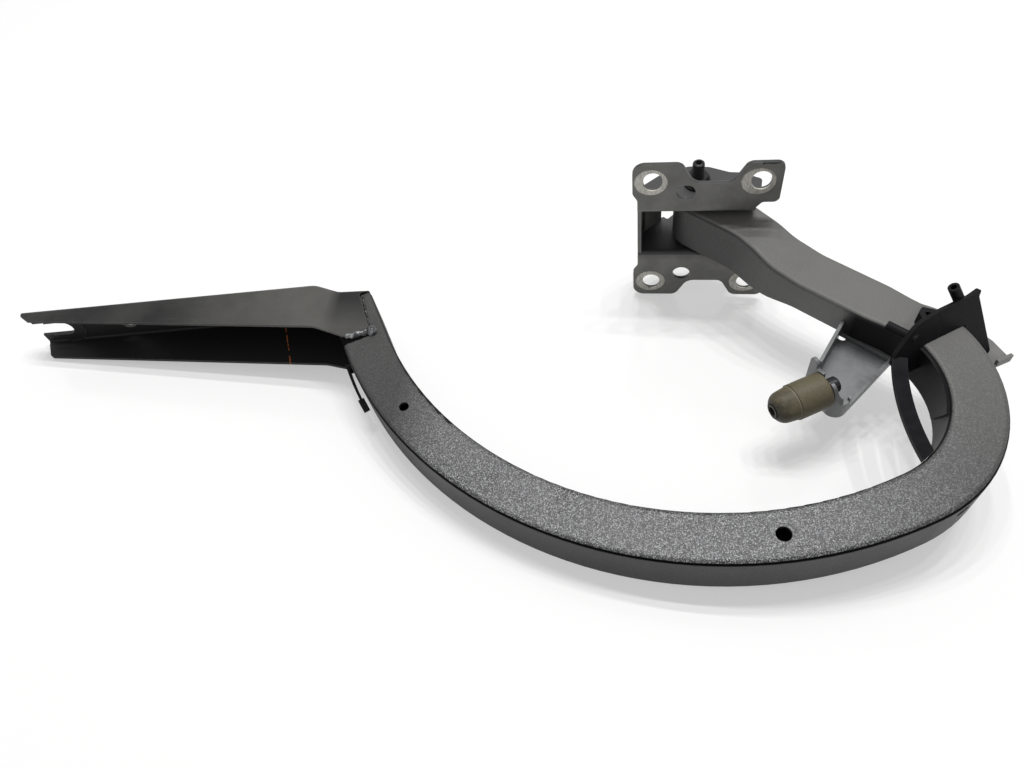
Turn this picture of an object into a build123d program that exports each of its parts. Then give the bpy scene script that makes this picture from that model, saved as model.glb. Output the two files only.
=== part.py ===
from build123d import *
import os
from math import cos, degrees, radians, sin, tan

# Trunk lid hinge of a car, lid closed. Millimetres.
# Origin: midway between the two round locating holes, on the face of the bracket
# flanges that lies against the body. +X runs along the flanges, +Y points away from
# the side that the gooseneck leaves by, +Z runs along the pivot.

# Body bracket
sheet = 2.5                 # steel of the bracket
bracket_gap = 38.0          # between the inner faces of the two plates
bend_radius = 3.0           # inside radius of the flange bends
flange_reach = 60.9         # from the middle plane to a lobe's outer edge
flange_waist = 45.4         # from the middle plane to the edge between the lobes
flange_left = -33.8
flange_right = 57.6
lobe_left_foot = -30.7      # left edge of the flange where it meets the bend
lobe_right_foot = 44.0      # right edge of the flange where it meets the bend
waist_left = 4.5            # the waist's corner beside the left lobe
waist_right = 28.0          # the waist's corner beside the right lobe
waist_slope = 8.0           # sideways run of a lobe's edge from the waist to its top
shoulder_height = 29.2      # from the middle plane to the right lobe's underside
wall_height_back = 20.3     # how far back the left wall runs before it turns in
wall_turn_x = -16.7         # where the turned-in part of the wall ends
wall_turn_y = 33.0
plate_back = 41.0           # the plates' back edge behind the pivot
plate_right = 50.0
wall_setback = 2.5          # the left wall's front edge lies this far behind the flanges' faces
notch_width = 12.0          # notch in the lower plate's back edge
notch_depth = 6.0

# Holes in the flanges
slot_left_x = -21.0
slot_right_x = 45.0
slot_pitch = 94.0           # between the upper and the lower slots
slot_width = 12.0
slot_length = 14.6
locating_pitch = 76.0
locating_bore = 12.0

# Pivot
pivot_x = 8.0
pivot_y = 25.0
bolt_diameter = 8.0
bolt_clearance = 0.1        # radial, bolt in sleeve, nut and plates
sleeve_outer = 12.0
bush_clearance = 0.05       # radial, bush on sleeve
bush_outer = 16.0
bush_flange_outer = 24.0
bush_flange = 2.0
bush_length = 11.0          # the part inside the tube
bush_end_play = 0.2         # between a bush flange and a bracket plate
tube_outer = 20.0
washer_outer = 18.0
washer_thickness = 1.5
nut_across_flats = 13.0
nut_height = 5.0
head_height = 5.5
stud_top = 38.5             # tip of the bolt above the middle plane
stud_rounding = 1.5
socket_across_flats = 4.0
socket_depth = 2.5

# Gooseneck: a box section of two nested U pressings
neck_sheet = 2.0
neck_width = 28.8
neck_height = 31.0
front_radius = 229.0        # long bend, centre line
front_centre = (3.7, 3.9)
front_start = 209.7         # degrees, where the tail's straight run begins
front_sweep = 90.0
tight_radius = 71.2         # sharp bend, centre line
tight_sweep = 114.65
tail_length = 45.0
edge_rounding = 3.0
lower_lip = 9.0             # height of the lower pressing's walls

# Straight arm between the sharp bend and the pivot
arm_width = 31.3
arm_height = 21.0
arm_widening = 14.0         # length over which the neck becomes the arm
step_start = -20.0          # along the arm, where the neck's full height ends
step_end = -6.0             # and where the lower straight stretch begins
joggle_start = 58.0         # along the arm, where it starts to grow taller again
joggle_end = 92.0
pivot_end_height = 33.0     # the arm's height at the pivot
near_bend_one = 77.0        # along the arm, first corner of the near wall's S
near_bend_two = 108.0       # and its second corner
far_bend = 78.5             # along the arm, where the far wall turns to the eye
pivot_to_near_wall = 21.1
eye_play = 0.2              # between the tube and the nose's inner face
nose_rounding = 18.0
s_bend_rounding = 45.0

# Holes in the neck
small_hole = 6.0
small_hole_angle = 223.9    # degrees on the long bend
large_hole = 8.0
large_hole_angle = 281.4
wall_hole = 6.0
wall_hole_length = 8.5
wall_hole_angle = -50.0     # degrees on the sharp bend
wall_hole_height = 7.0

# Lid channel, welded over the neck's tail; its places are measured from the tail's start
channel_sheet = 2.0
channel_tip = (-261.5, 20.7)
channel_shoulder = (-47.8, 47.9)
channel_dip = (-29.4, 42.2)
channel_heel = (-8.8, 43.6)
channel_rounding = 3.5
channel_front = 12.0        # front edge of the upper flange
channel_front_root = (-15.4, 4.0)
channel_root_corner = (-0.7, 11.1)
channel_root_back = (-14.3, 39.1)
lower_flange_extra = 7.0    # the lower flange reaches further forward
fork_width = 12.7
fork_depth = 28.0
fork_height = -1.5
fork_pad = 14.0             # radius of the thicker pad round the fork's end
fork_pad_thickness = 1.0
web_hole = 12.2
web_hole_from_tip = 69.5

# Bead that holds the channel on the neck
bead_radius = 2.2
bead_blob_radius = 4.0

# Bump stop bracket; its places are measured along the arm and from its near wall
stop_sheet = 2.0
stop_base_drop = 3.5        # the base's upper face lies this much below the arm
stop_lap = 9.0              # how far the bracket laps under the arm
stop_wall_top = 0.0
stop_turn = 64.65           # degrees, from the arm's heading to the rubber's axis
stop_root = (7.7, 50.5)
stop_axis_height = 1.0
stop_left_back = (25.4, -0.9)
stop_left_front = (20.2, 34.1)
stop_right_back = (-10.4, -0.1)
stop_relief = 2.8           # radius of the relief in the corner of base and side wall
lip_left = 15.5             # from the rubber's axis to the lip's left end
lip_right = 15.5            # and to the corner where the lip turns into the rim
lip_rounding = 7.0
lip_top = 11.0              # top of the lip beside the stud's slot
lip_shoulder = 6.5          # where its top starts to fall, from the rubber's axis
lip_horn = 14.5             # top of the round horn at its left end
lip_horn_width = 6.0
lip_low = -3.0              # top of the lip where it turns into the rim
lip_turn = 6.0              # how far back the fall reaches
lip_end = 12.0              # and where the low rim begins
rim_height = 3.8            # low rim along the base's right side
tooth_width = 2.0           # small tooth at the rim's beginning
tooth_height = 2.0

# Rubber bump stop and its stud
rubber_diameter = 21.5
rubber_length = 33.0
rubber_step = 0.5
rubber_step_from_root = 20.0
rubber_hole = 7.5
rubber_hole_depth = 9.0
rubber_nose_rounding = 7.0
rubber_root_rounding = 1.5
stud_head = 9.5
stud_head_length = 6.5
stud_shank = 7.0
stud_clearance = 0.2

# Cable guide on the sharp bend
guide_angle = 31.8          # degrees on the sharp bend
guide_lean = 22.0           # degrees, towards the arm
guide_sheet = 2.2
guide_seam = 10.7           # from the neck's inner wall
guide_seam_gap = 0.3
guide_seat_clearance = 0.1
guide_rim_height = 18.0
guide_left_reach = 21.0     # past the neck's inner wall
guide_right_reach = 10.5    # past the neck's outer wall
skirt_spread = 9.0          # the skirt's foot reaches this much further out
skirt_gap = 1.0             # between the skirt's foot and the spring tab
peg_outer = 5.6
peg_bore = 3.2
peg_length = 17.0
peg_root = (-4.6, 6.5)      # from the neck's inner wall, up the guide's wall
peg_two_outer = 6.2
peg_two_bore = 3.4
peg_two_length = 18.0
peg_two_root = (1.5, 9.0)   # from the neck's outer wall, up the guide's wall
peg_two_lean = 22.0         # degrees towards the inside of the bend
strap_width = 8.0
strap_thickness = 2.5
strap_start = 15.3          # from the neck's inner wall, at the guide
strap_middle = 22.6         # and halfway
strap_middle_angle = -6.4   # degrees on the sharp bend
strap_end_angle = -46.4
liner_thickness = 1.6
liner_end_angle = -7.0
liner_end_slant = 26.0      # degrees
clip_reach = 10.0           # how far the latch box stands off from the wall
clip_width = 14.0
clip_height = 9.5
clip_wall = 1.8
clip_clearance = 1.0        # between the latch box and the other half

# Spring tab on the outside of the sharp bend
tab_sheet = 2.0
tab_angle = 28.5
tab_reach = 28.0
tab_width = 26.0
tab_rounding = 12.0
tab_lip = 4.0
tab_lip_start = 18.0        # from the neck's outer wall
tab_lip_length = 10.0

# Tie clip on the neck's outer wall
tie_button = 8.0
tie_angle = 208.6
tie_height = -6.0
tie_strap_width = 5.0
tie_strap_thickness = 1.6
tie_strap_gap = 3.0         # between the strap and the wall
tie_strap_sweep = 7.6       # degrees along the wall
tie_head_length = 5.0
tie_head_width = 8.0
tie_head_thickness = 4.0

# Places that follow from the sizes above
inner_face = bracket_gap / 2
outer_face = inner_face + sheet
outer_bend = bend_radius + sheet
flange_start = inner_face + outer_bend
neck_half = neck_width / 2
neck_top = neck_height / 2
arm_half = arm_width / 2
arm_top = arm_height / 2
pivot_end_top = pivot_end_height / 2
pivot = Vector(pivot_x, pivot_y)
eye_radius = tube_outer / 2 + 2 * neck_sheet + 1


def polar(centre, radius, angle):
    """Point at a radius and an angle in degrees from a centre."""
    return Vector(centre[0], centre[1]) + Vector(cos(radians(angle)), sin(radians(angle))) * radius


tight_start = front_start + front_sweep
tight_end = tight_start + tight_sweep - 360
tight_middle = polar(front_centre, front_radius - tight_radius, tight_start)
tight_centre = (tight_middle.X, tight_middle.Y)
arm_start = polar(tight_centre, tight_radius, tight_end)
arm_heading = Vector(cos(radians(tight_end + 90)), sin(radians(tight_end + 90)))
arm_plane = Plane(origin=arm_start, x_dir=arm_heading, z_dir=(0, 0, 1))
pivot_in_arm = arm_plane.to_local_coords(pivot)
tail_start = polar(front_centre, front_radius, front_start)
tail_heading = Vector(cos(radians(front_start - 90)), sin(radians(front_start - 90)))
tail_side = Vector(cos(radians(front_start)), sin(radians(front_start)))
inner_wall = tight_radius - neck_half
outer_wall = tight_radius + neck_half
channel_half = neck_top + channel_sheet


def from_tail(offset, shift_y=0.0):
    """Point of the lid channel, measured from the tail's start."""
    return tail_start + Vector(offset[0], offset[1] + shift_y)


def from_arm(offset):
    """Point beside the arm: along it, and out from its near wall."""
    place = arm_plane.from_local_coords(Vector(offset[0], arm_half + offset[1], 0))
    return Vector(place.X, place.Y)


tip = from_tail(channel_tip)
shoulder = from_tail(channel_shoulder)
web_heading = (shoulder - tip).normalized()
web_forward = Vector(web_heading.Y, -web_heading.X)
tube_top = inner_face - bush_end_play - bush_flange


def rounded_path(corners, closed=False):
    """Edges through the corners (x, y) or (x, y, rounding)."""
    points = [Vector(corner[0], corner[1]) for corner in corners]
    radii = [corner[2] if len(corner) > 2 else 0 for corner in corners]
    count = len(points)
    edges = []
    entries = []
    exits = []
    for index, point in enumerate(points):
        at_end = not closed and index in (0, count - 1)
        if at_end or radii[index] == 0:
            entries.append(point)
            exits.append(point)
            continue
        back = (points[index - 1] - point).normalized()
        ahead = (points[(index + 1) % count] - point).normalized()
        half_angle = radians(back.get_angle(ahead) / 2)
        reach = radii[index] / tan(half_angle)
        depth = radii[index] / sin(half_angle) - radii[index]
        entries.append(point + back * reach)
        exits.append(point + ahead * reach)
        middle = point + (back + ahead).normalized() * depth
        edges.append(ThreePointArc(entries[index], middle, exits[index]))
    last = count if closed else count - 1
    for index in range(last):
        following = (index + 1) % count
        if (entries[following] - exits[index]).length > 1e-6:
            edges.append(Line(exits[index], entries[following]))
    return edges


def rounded_face(corners):
    """Flat face with the given corners and roundings."""
    return Face(Wire(rounded_path(corners, closed=True)))


def prism(face, low, high):
    """A face in the XY plane, made solid between two heights."""
    return Pos(0, 0, low) * extrude(face, high - low, dir=(0, 0, 1))


def upright(x, y, radius, low, high):
    """Round bar along Z."""
    return Pos(x, y, (low + high) / 2) * Cylinder(radius, high - low)


def cap_edges(solid, side):
    """Edges between the top or bottom faces and the walls."""
    caps = [face for face in solid.faces() if side * face.normal_at().Z > 0.5]
    walls = [face for face in solid.faces() if abs(face.normal_at().Z) < 0.2]
    cap_set = ShapeList(edge for face in caps for edge in face.edges())
    wall_set = ShapeList(edge for face in walls for edge in face.edges())
    return ShapeList(edge for edge in cap_set if any(edge.is_same(other) for other in wall_set))


# Body bracket

def flange_outline():
    """Upper flange in (x, z), from the bend up."""
    low = flange_start
    return rounded_face([
        (lobe_left_foot, low),
        (lobe_left_foot, low + 7.0, 5),
        (flange_left, low + 12.5, 5),
        (flange_left, flange_reach, 8),
        (waist_left - waist_slope, flange_reach, 6),
        (waist_left, flange_waist, 8),
        (waist_right, flange_waist, 6),
        (waist_right + waist_slope, flange_reach, 6),
        (flange_right, flange_reach, 5),
        (flange_right, shoulder_height, 4),
        (lobe_right_foot + 3.5, shoulder_height, 3),
        (lobe_right_foot, low),
    ])


def plate_outline():
    """Upper plate in (x, y), behind the bend."""
    return rounded_face([
        (lobe_left_foot, outer_bend - sheet),
        (lobe_left_foot, wall_height_back, 8),
        (wall_turn_x, wall_turn_y, 6),
        (pivot_x - 6, plate_back, 9),
        (pivot_x + 8, plate_back - 1, 9),
        (29.0, 34.6, 2),
        (36.0, 34.0, 3),
        (plate_right, 27.6, 3),
        (plate_right - 1, 18.5, 6),
        (lobe_right_foot, 7.0, 6),
        (lobe_right_foot, outer_bend - sheet),
    ])


def bracket_corner():
    """Quarter bend between the upper plate and the upper flange."""
    centre_y = outer_bend - sheet
    ring = Cylinder(outer_bend, 1) - Cylinder(bend_radius, 1)
    quarter = ring & Pos(-outer_bend / 2, -outer_bend / 2, 0) * Box(outer_bend, outer_bend, 1)
    outline = quarter.faces().sort_by(Axis.Z)[-1]
    length = lobe_right_foot - lobe_left_foot
    bar = extrude(outline, length, dir=(0, 0, 1))
    bar = Pos(0, 0, -bar.bounding_box().min.Z) * bar
    # local x becomes world y, local y becomes world z, local z becomes world x
    place = Plane(origin=(lobe_left_foot, centre_y, flange_start), x_dir=(0, 1, 0), z_dir=(1, 0, 0))
    return place * bar


def left_wall():
    """Wall that joins the two plates, turned in behind the pivot."""
    path = [
        (lobe_left_foot, wall_setback - sheet),
        (lobe_left_foot, wall_height_back, 8),
        (wall_turn_x, wall_turn_y),
    ]
    turn = (Vector(wall_turn_x - lobe_left_foot, wall_turn_y - wall_height_back)).normalized()
    inward = Vector(turn.Y, -turn.X) * sheet
    side = [
        (wall_turn_x + inward.X, wall_turn_y + inward.Y),
        (lobe_left_foot + sheet, wall_height_back - 1, 6),
        (lobe_left_foot + sheet, wall_setback - sheet),
    ]
    face = rounded_face(path + side)
    return prism(face, -outer_face, outer_face)


def half_bracket():
    """Plate, bend and flange of the upper half."""
    plate = prism(plate_outline(), inner_face, outer_face)
    outline = Plane(origin=(0, 0, 0), x_dir=(1, 0, 0), z_dir=(0, -1, 0)) * flange_outline()
    flange = extrude(outline, sheet, dir=(0, -1, 0))
    return plate + bracket_corner() + flange


def slotted_hole(x, z, width, length):
    """Cutter for an upright slot through a flange."""
    slot = SlotOverall(length, width, rotation=90) if length > width else Circle(width / 2)
    cutter = extrude(slot, 4 * sheet, both=True)
    return Pos(x, 0, z) * Rot(90, 0, 0) * cutter


def body_bracket():
    """Pressed bracket that bolts to the body."""
    upper = half_bracket()
    lower = mirror(upper, about=Plane.XY)
    bracket = upper + lower + left_wall()
    for side in (-1, 1):
        for x in (slot_left_x, slot_right_x):
            bracket -= slotted_hole(x, side * slot_pitch / 2, slot_width, slot_length)
        bracket -= slotted_hole(0, side * locating_pitch / 2, locating_bore, locating_bore)
    bolt_hole = bolt_diameter / 2 + bolt_clearance
    bracket -= upright(pivot_x, pivot_y, bolt_hole, -2 * inner_face, 2 * inner_face)
    notch = rounded_face([
        (wall_turn_x - 1, wall_turn_y + notch_depth),
        (wall_turn_x + notch_width / 2, wall_turn_y - 1, 1.5),
        (wall_turn_x + notch_width, wall_turn_y + notch_depth),
    ])
    bracket -= prism(notch, -outer_face - 1, -inner_face + 1)
    return bracket


# Pivot

def ring(outer, inner, low, high):
    """Round tube along the pivot."""
    return (upright(pivot_x, pivot_y, outer, low, high)
            - upright(pivot_x, pivot_y, inner, low - 1, high + 1))


def pivot_bolt():
    """Bolt from below, its rounded tip standing above the nut."""
    radius = bolt_diameter / 2
    low = -outer_face - washer_thickness
    shank = upright(pivot_x, pivot_y, radius, low, stud_top)
    shank = fillet(shank.edges().sort_by(Axis.Z)[-1:], stud_rounding)
    head = extrude(RegularPolygon(nut_across_flats / 2, 6, major_radius=False), head_height)
    head = Pos(pivot_x, pivot_y, low - head_height) * head
    socket = extrude(RegularPolygon(socket_across_flats / 2, 6, major_radius=False), socket_depth + 1)
    socket = Pos(pivot_x, pivot_y, stud_top - socket_depth) * socket
    return shank + head - socket


def washer(side):
    """Washer on the outside of a plate."""
    low = outer_face if side > 0 else -outer_face - washer_thickness
    return ring(washer_outer / 2, bolt_diameter / 2 + bolt_clearance, low, low + washer_thickness)


def pivot_nut():
    """Nut on the upper washer."""
    nut = extrude(RegularPolygon(nut_across_flats / 2, 6, major_radius=False), nut_height)
    nut -= Cylinder(bolt_diameter / 2 + bolt_clearance, 4 * nut_height)
    return Pos(pivot_x, pivot_y, outer_face + washer_thickness) * nut


def spacer_sleeve():
    """Sleeve clamped between the plates, on which the arm turns."""
    return ring(sleeve_outer / 2, bolt_diameter / 2 + bolt_clearance, -inner_face, inner_face)


def pivot_tube():
    """Tube welded through the arm's end."""
    return ring(tube_outer / 2, bush_outer / 2, -tube_top, tube_top)


def flanged_bush(side):
    """Flanged bush in one end of the tube."""
    bore = sleeve_outer / 2 + bush_clearance
    body = ring(bush_outer / 2, bore, tube_top - bush_length, tube_top)
    flange = ring(bush_flange_outer / 2, bore, tube_top, tube_top + bush_flange)
    bush = body + flange
    return bush if side > 0 else mirror(bush, about=Plane.XY)


# Gooseneck

def neck_outline():
    """Outline of neck and arm seen from above."""
    outer = []
    inner = []
    tail_end = tail_start + tail_heading * tail_length
    outer.append(Line(tail_end + tail_side * neck_half, tail_start + tail_side * neck_half))
    inner.append(Line(tail_end - tail_side * neck_half, tail_start - tail_side * neck_half))
    outer.append(CenterArc(front_centre, front_radius + neck_half, front_start, front_sweep))
    inner.append(CenterArc(front_centre, front_radius - neck_half, front_start, front_sweep))
    outer.append(CenterArc(tight_centre, tight_radius + neck_half, tight_start, tight_sweep))
    inner.append(CenterArc(tight_centre, tight_radius - neck_half, tight_start, tight_sweep))
    end = Line(tail_end + tail_side * neck_half, tail_end - tail_side * neck_half)
    arm = [arm_plane * edge for edge in rounded_path(arm_corners())]
    return Face(Wire(outer + inner + arm + [end]))


def arm_corners():
    """Arm outline along the arm, across it positive on the near side."""
    pivot_along = pivot_in_arm.X
    pivot_across = pivot_in_arm.Y
    near_end = pivot_across + pivot_to_near_wall
    far_end = pivot_across - eye_radius
    nose = pivot_along + tube_outer / 2 + neck_sheet + eye_play
    return [
        (0, neck_half),
        (arm_widening, arm_half, 30),
        (near_bend_one, arm_half, s_bend_rounding),
        (near_bend_two, near_end, s_bend_rounding),
        (nose, near_end, nose_rounding),
        (nose, far_end, eye_radius),
        (pivot_along - eye_radius / 2, far_end, eye_radius),
        (far_bend, -arm_half, s_bend_rounding),
        (arm_widening, -arm_half, 30),
        (0, -neck_half),
    ]


def height_line(side, offset):
    """Top or bottom line of the arm along its length, shifted by an offset."""
    beyond = pivot_in_arm.X + 60
    return [
        (step_start - 4, side * neck_top + offset),
        (step_start, side * neck_top + offset, 8),
        (step_end, side * arm_top + offset, 8),
        (joggle_start, side * arm_top + offset, 40),
        (joggle_end, side * pivot_end_top + offset, 40),
        (beyond, side * pivot_end_top + offset),
    ]


def arm_slice(low, high):
    """Everything over the arm's length between two height lines."""
    outline = rounded_face(height_line(*low) + height_line(*high)[::-1])
    side_plane = Plane(origin=arm_start, x_dir=arm_heading, z_dir=-arm_plane.y_dir)
    return extrude(side_plane * outline, 60, both=True)


def neck_form(outline, low, high):
    """Solid over an outline; low and high are (side, offset) of a height line."""
    tall = prism(outline, -neck_height, neck_height)
    arm_zone = arm_plane * Pos(150 + step_start - 4, 0, 0) * Box(300, 120, 3 * neck_height)
    neck_low = low[0] * neck_top + low[1]
    neck_high = high[0] * neck_top + high[1]
    neck = (tall - arm_zone) & Pos(0, 0, (neck_low + neck_high) / 2) * Box(2000, 2000, neck_high - neck_low)
    arm = tall & arm_slice(low, high)
    return neck + arm


def gooseneck_block():
    """The gooseneck without its hollow, to trim what is fastened to it."""
    return neck_form(neck_outline(), (-1, 0), (1, 0))


def tail_opening(inset):
    """Strip past the tail's end, which leaves the section open there."""
    half = neck_half - inset
    start = tail_start + tail_heading * (tail_length - 10)
    end = start + tail_heading * 40
    return Face(Wire([
        Line(start + tail_side * half, end + tail_side * half),
        Line(end + tail_side * half, end - tail_side * half),
        Line(end - tail_side * half, start - tail_side * half),
        Line(start - tail_side * half, start + tail_side * half),
    ]))


def inset_outline(amount):
    """The neck's outline moved in by a wall, open at the tail."""
    return offset(neck_outline(), -amount) + tail_opening(amount)


def tail_cut():
    """Takes off what would stand behind the channel's web, and the web's own place."""
    heel = from_tail(channel_heel) + web_forward * channel_sheet
    dip = from_tail(channel_dip) + web_forward * channel_sheet
    block = rounded_face([
        (heel.X + 40, heel.Y),
        (heel.X, heel.Y),
        (dip.X, dip.Y),
        (dip.X - 40, dip.Y),
        (dip.X - 40, dip.Y + 40),
        (heel.X + 40, heel.Y + 40),
    ])
    return prism(block, -neck_height, neck_height) + lid_channel()


def neck_holes():
    """Round holes in the neck's top face, and the oval one in its outer wall."""
    small = polar(front_centre, front_radius, small_hole_angle)
    large = polar(front_centre, front_radius, large_hole_angle)
    holes = upright(small.X, small.Y, small_hole / 2, neck_top - 3 * neck_sheet, neck_top + 2)
    holes += upright(large.X, large.Y, large_hole / 2, neck_top - 3 * neck_sheet, neck_top + 2)
    place = polar(tight_centre, tight_radius + neck_half, wall_hole_angle)
    outward = Vector(cos(radians(wall_hole_angle)), sin(radians(wall_hole_angle)))
    plane = Plane(origin=(place.X, place.Y, wall_hole_height), x_dir=(-outward.Y, outward.X, 0), z_dir=outward)
    oval = extrude(plane * SlotOverall(wall_hole_length, wall_hole), 2 * neck_sheet - 0.5, both=True)
    return holes + oval


def neck_upper_shell():
    """Top plate and outer side walls."""
    outer = neck_form(neck_outline(), (-1, 0), (1, 0))
    outer = fillet(cap_edges(outer, 1), edge_rounding)
    inner = neck_form(inset_outline(neck_sheet), (-1, -5), (1, -neck_sheet))
    shell = outer - inner
    shell -= upright(pivot_x, pivot_y, tube_outer / 2, -neck_height, neck_height)
    return shell - tail_cut() - neck_holes()


def neck_lower_shell():
    """Closing pressing, its walls nested inside the upper one's."""
    outer = neck_form(inset_outline(neck_sheet), (-1, 0), (-1, lower_lip))
    inner = neck_form(inset_outline(2 * neck_sheet), (-1, neck_sheet), (-1, lower_lip + 5))
    shell = outer - inner
    relief = tube_outer / 2 + neck_sheet + 1
    shell -= upright(pivot_x, pivot_y, tube_outer / 2, -neck_height, neck_height)
    shell -= upright(pivot_x, pivot_y, relief, neck_sheet - pivot_end_top, neck_height)
    return shell - tail_cut()


# Lid channel

def channel_outline(web_inset, front_extra, end_extra):
    """Channel seen from above; the web can be inset and the open sides pushed out."""
    shift = web_forward * web_inset
    run_out = web_heading * end_extra
    back_tip = tip + shift - run_out
    back_shoulder = shoulder + shift
    back_dip = from_tail(channel_dip) + shift
    heel = from_tail(channel_heel)
    back_heel = Vector(heel.X + end_extra, heel.Y - web_inset)
    front = tail_start.Y + channel_front - front_extra
    root_back = from_tail(channel_root_back)
    root_corner = from_tail(channel_root_corner)
    front_root = from_tail(channel_front_root, -front_extra / 2)
    corners = [
        (back_tip.X, back_tip.Y),
        (back_shoulder.X, back_shoulder.Y, 14),
        (back_dip.X, back_dip.Y, 12),
        (back_heel.X, back_heel.Y),
    ]
    if end_extra > 0:
        corners += [(back_heel.X, front - 10), (back_tip.X, front - 10)]
        return rounded_face(corners)
    corners += [
        (heel.X - 0.8, heel.Y - channel_sheet),
        (root_back.X, root_back.Y, 2),
        (root_corner.X, root_corner.Y, 3),
        (front_root.X, front_root.Y, 4),
        (front_root.X - 24, front, 20),
        (tip.X + 8.5, front, 4),
        (tip.X + 2.0, tip.Y - 5.0, 2),
    ]
    return rounded_face(corners)


def web_cutter(face, from_tip, height):
    """A flat shape pushed through the web, placed along it from the tip."""
    place = tip + web_heading * from_tip
    plane = Plane(origin=(place.X, place.Y, height), x_dir=web_heading, z_dir=web_forward)
    return extrude(plane * face, 4 * channel_sheet, both=True)


def fork_shape():
    """Open slot from the tip to its round end."""
    end = fork_depth - fork_width / 2
    return Pos(end, 0) * Circle(fork_width / 2) + Pos(end / 2 - 10, 0) * Rectangle(end + 20, fork_width)


def fork_pad_solid():
    """Thicker pad on the web's inner face round the fork's end."""
    place = tip + web_heading * (fork_depth - fork_width / 2) + web_forward * channel_sheet
    plane = Plane(origin=(place.X, place.Y, fork_height), x_dir=web_heading, z_dir=web_forward)
    return extrude(plane * Circle(fork_pad), fork_pad_thickness)


def lid_channel():
    """Pressed channel that bolts to the lid, its flanges gripping the neck's tail."""
    half = channel_half
    block = prism(channel_outline(0, lower_flange_extra, 0), -half, half)
    back = cap_edges(block, 1) + cap_edges(block, -1)
    rolled = ShapeList(edge for edge in back if is_web_edge(edge))
    block = fillet(rolled, channel_rounding)
    hollow_half = half - channel_sheet
    hollow = prism(channel_outline(channel_sheet, 30, 30), -hollow_half, hollow_half)
    inner_edges = cap_edges(hollow, 1) + cap_edges(hollow, -1)
    rolled_inside = ShapeList(edge for edge in inner_edges if is_web_edge(edge))
    hollow = fillet(rolled_inside, channel_rounding - channel_sheet)
    upper_trim = prism(channel_outline(0, lower_flange_extra + 5, 0), 0, half + 5)
    upper_trim -= prism(channel_outline(0, 0, 0), -1, half + 6)
    channel = block - hollow - upper_trim
    channel += fork_pad_solid() & prism(channel_outline(0, 0, 0), -hollow_half, hollow_half)
    channel -= web_cutter(fork_shape(), 0, fork_height)
    return channel - web_cutter(Circle(web_hole / 2), web_hole_from_tip, fork_height)


def is_web_edge(edge):
    """True for the long edges along the web's outer or inner face."""
    middle = edge.position_at(0.5)
    behind = (middle - tip).dot(web_forward)
    before_heel = middle.X < from_tail(channel_heel).X + 20
    return behind < 12 and before_heel and edge.length > 4 and middle.Y > tip.Y


def lid_weld(channel, neck):
    """Bead and its end blob between the channel's front edge and the neck."""
    height = neck_top + 0.6
    start = from_tail(channel_front_root) + Vector(2.0, 0.8, height)
    end = from_tail(channel_root_corner) + Vector(2.0, -1.5, height)
    run = end - start
    bead = extrude(Plane(origin=start, z_dir=run) * Circle(bead_radius), run.length)
    bead += Pos(*start) * Sphere(bead_radius)
    bead += Pos(*end) * Sphere(bead_blob_radius)
    low = neck_top + 3 * bead_blob_radius
    bead &= Pos(start.X, start.Y, low) * Box(200, 200, 6 * bead_blob_radius)
    return bead - channel - neck


# Bump stop

def stop_plane():
    """X along the rubber's axis away from its bracket, Z up, at the lip."""
    heading = arm_heading.rotate(Axis.Z, stop_turn)
    root = from_arm(stop_root)
    return Plane(origin=(root.X, root.Y, stop_axis_height), x_dir=heading, z_dir=(0, 0, 1))


def strip(points, roundings, thickness, low, high):
    """Upright strip of sheet; its outer face follows the points, from left to right."""
    corners = []
    back = []
    last = len(points) - 1
    for index, point in enumerate(points):
        before = (points[index] - points[index - 1]).normalized() if index else None
        after = (points[index + 1] - points[index]).normalized() if index < last else None
        first = before or after
        second = after or before
        mean = (first + second).normalized()
        side = Vector(-mean.Y, mean.X) * (thickness / (mean.dot(first)))
        corners.append((point.X, point.Y, roundings[index]))
        back.append((point.X + side.X, point.Y + side.Y, max(roundings[index] - thickness, 0)))
    return prism(rounded_face(corners + back[::-1]), low, high)


def lip_envelope(low, rim_top):
    """Everything below the lip's and the rim's top edge."""
    plane = stop_plane()
    drop = stop_axis_height
    face = Plane(origin=plane.origin, x_dir=plane.y_dir, z_dir=plane.x_dir) * rounded_face([
        (-lip_left, low - drop),
        (-lip_left, lip_horn - drop, lip_horn_width / 2 - 0.1),
        (lip_horn_width - lip_left, lip_horn - drop, lip_horn_width / 2 - 0.1),
        (lip_horn_width - lip_left, lip_top - drop - 2.5, 1),
        (lip_horn_width - lip_left + 5, lip_top - drop),
        (lip_shoulder, lip_top - drop, 3),
        (lip_right - 4, lip_low - drop),
        (lip_right + 4, lip_low - drop),
        (lip_right + 4, low - drop),
    ])
    wide = 4 * lip_right
    front = extrude(face, lip_turn, dir=-plane.x_dir)
    turn_height = lip_low - low
    turn = Pos(-(lip_turn + lip_end) / 2, 0, low - drop + turn_height / 2)
    turn *= Box(lip_end - lip_turn, wide, turn_height)
    tooth = Pos(tooth_width / 2 - lip_end, 0, lip_low - drop) * Box(tooth_width, wide, 2 * tooth_height)
    rim_length = 3 * wide
    rim = Pos(-lip_end - rim_length / 2, 0, (low + rim_top) / 2 - drop) * Box(rim_length, 2 * wide, rim_top - low)
    return front + plane * (turn + tooth + rim)


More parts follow.
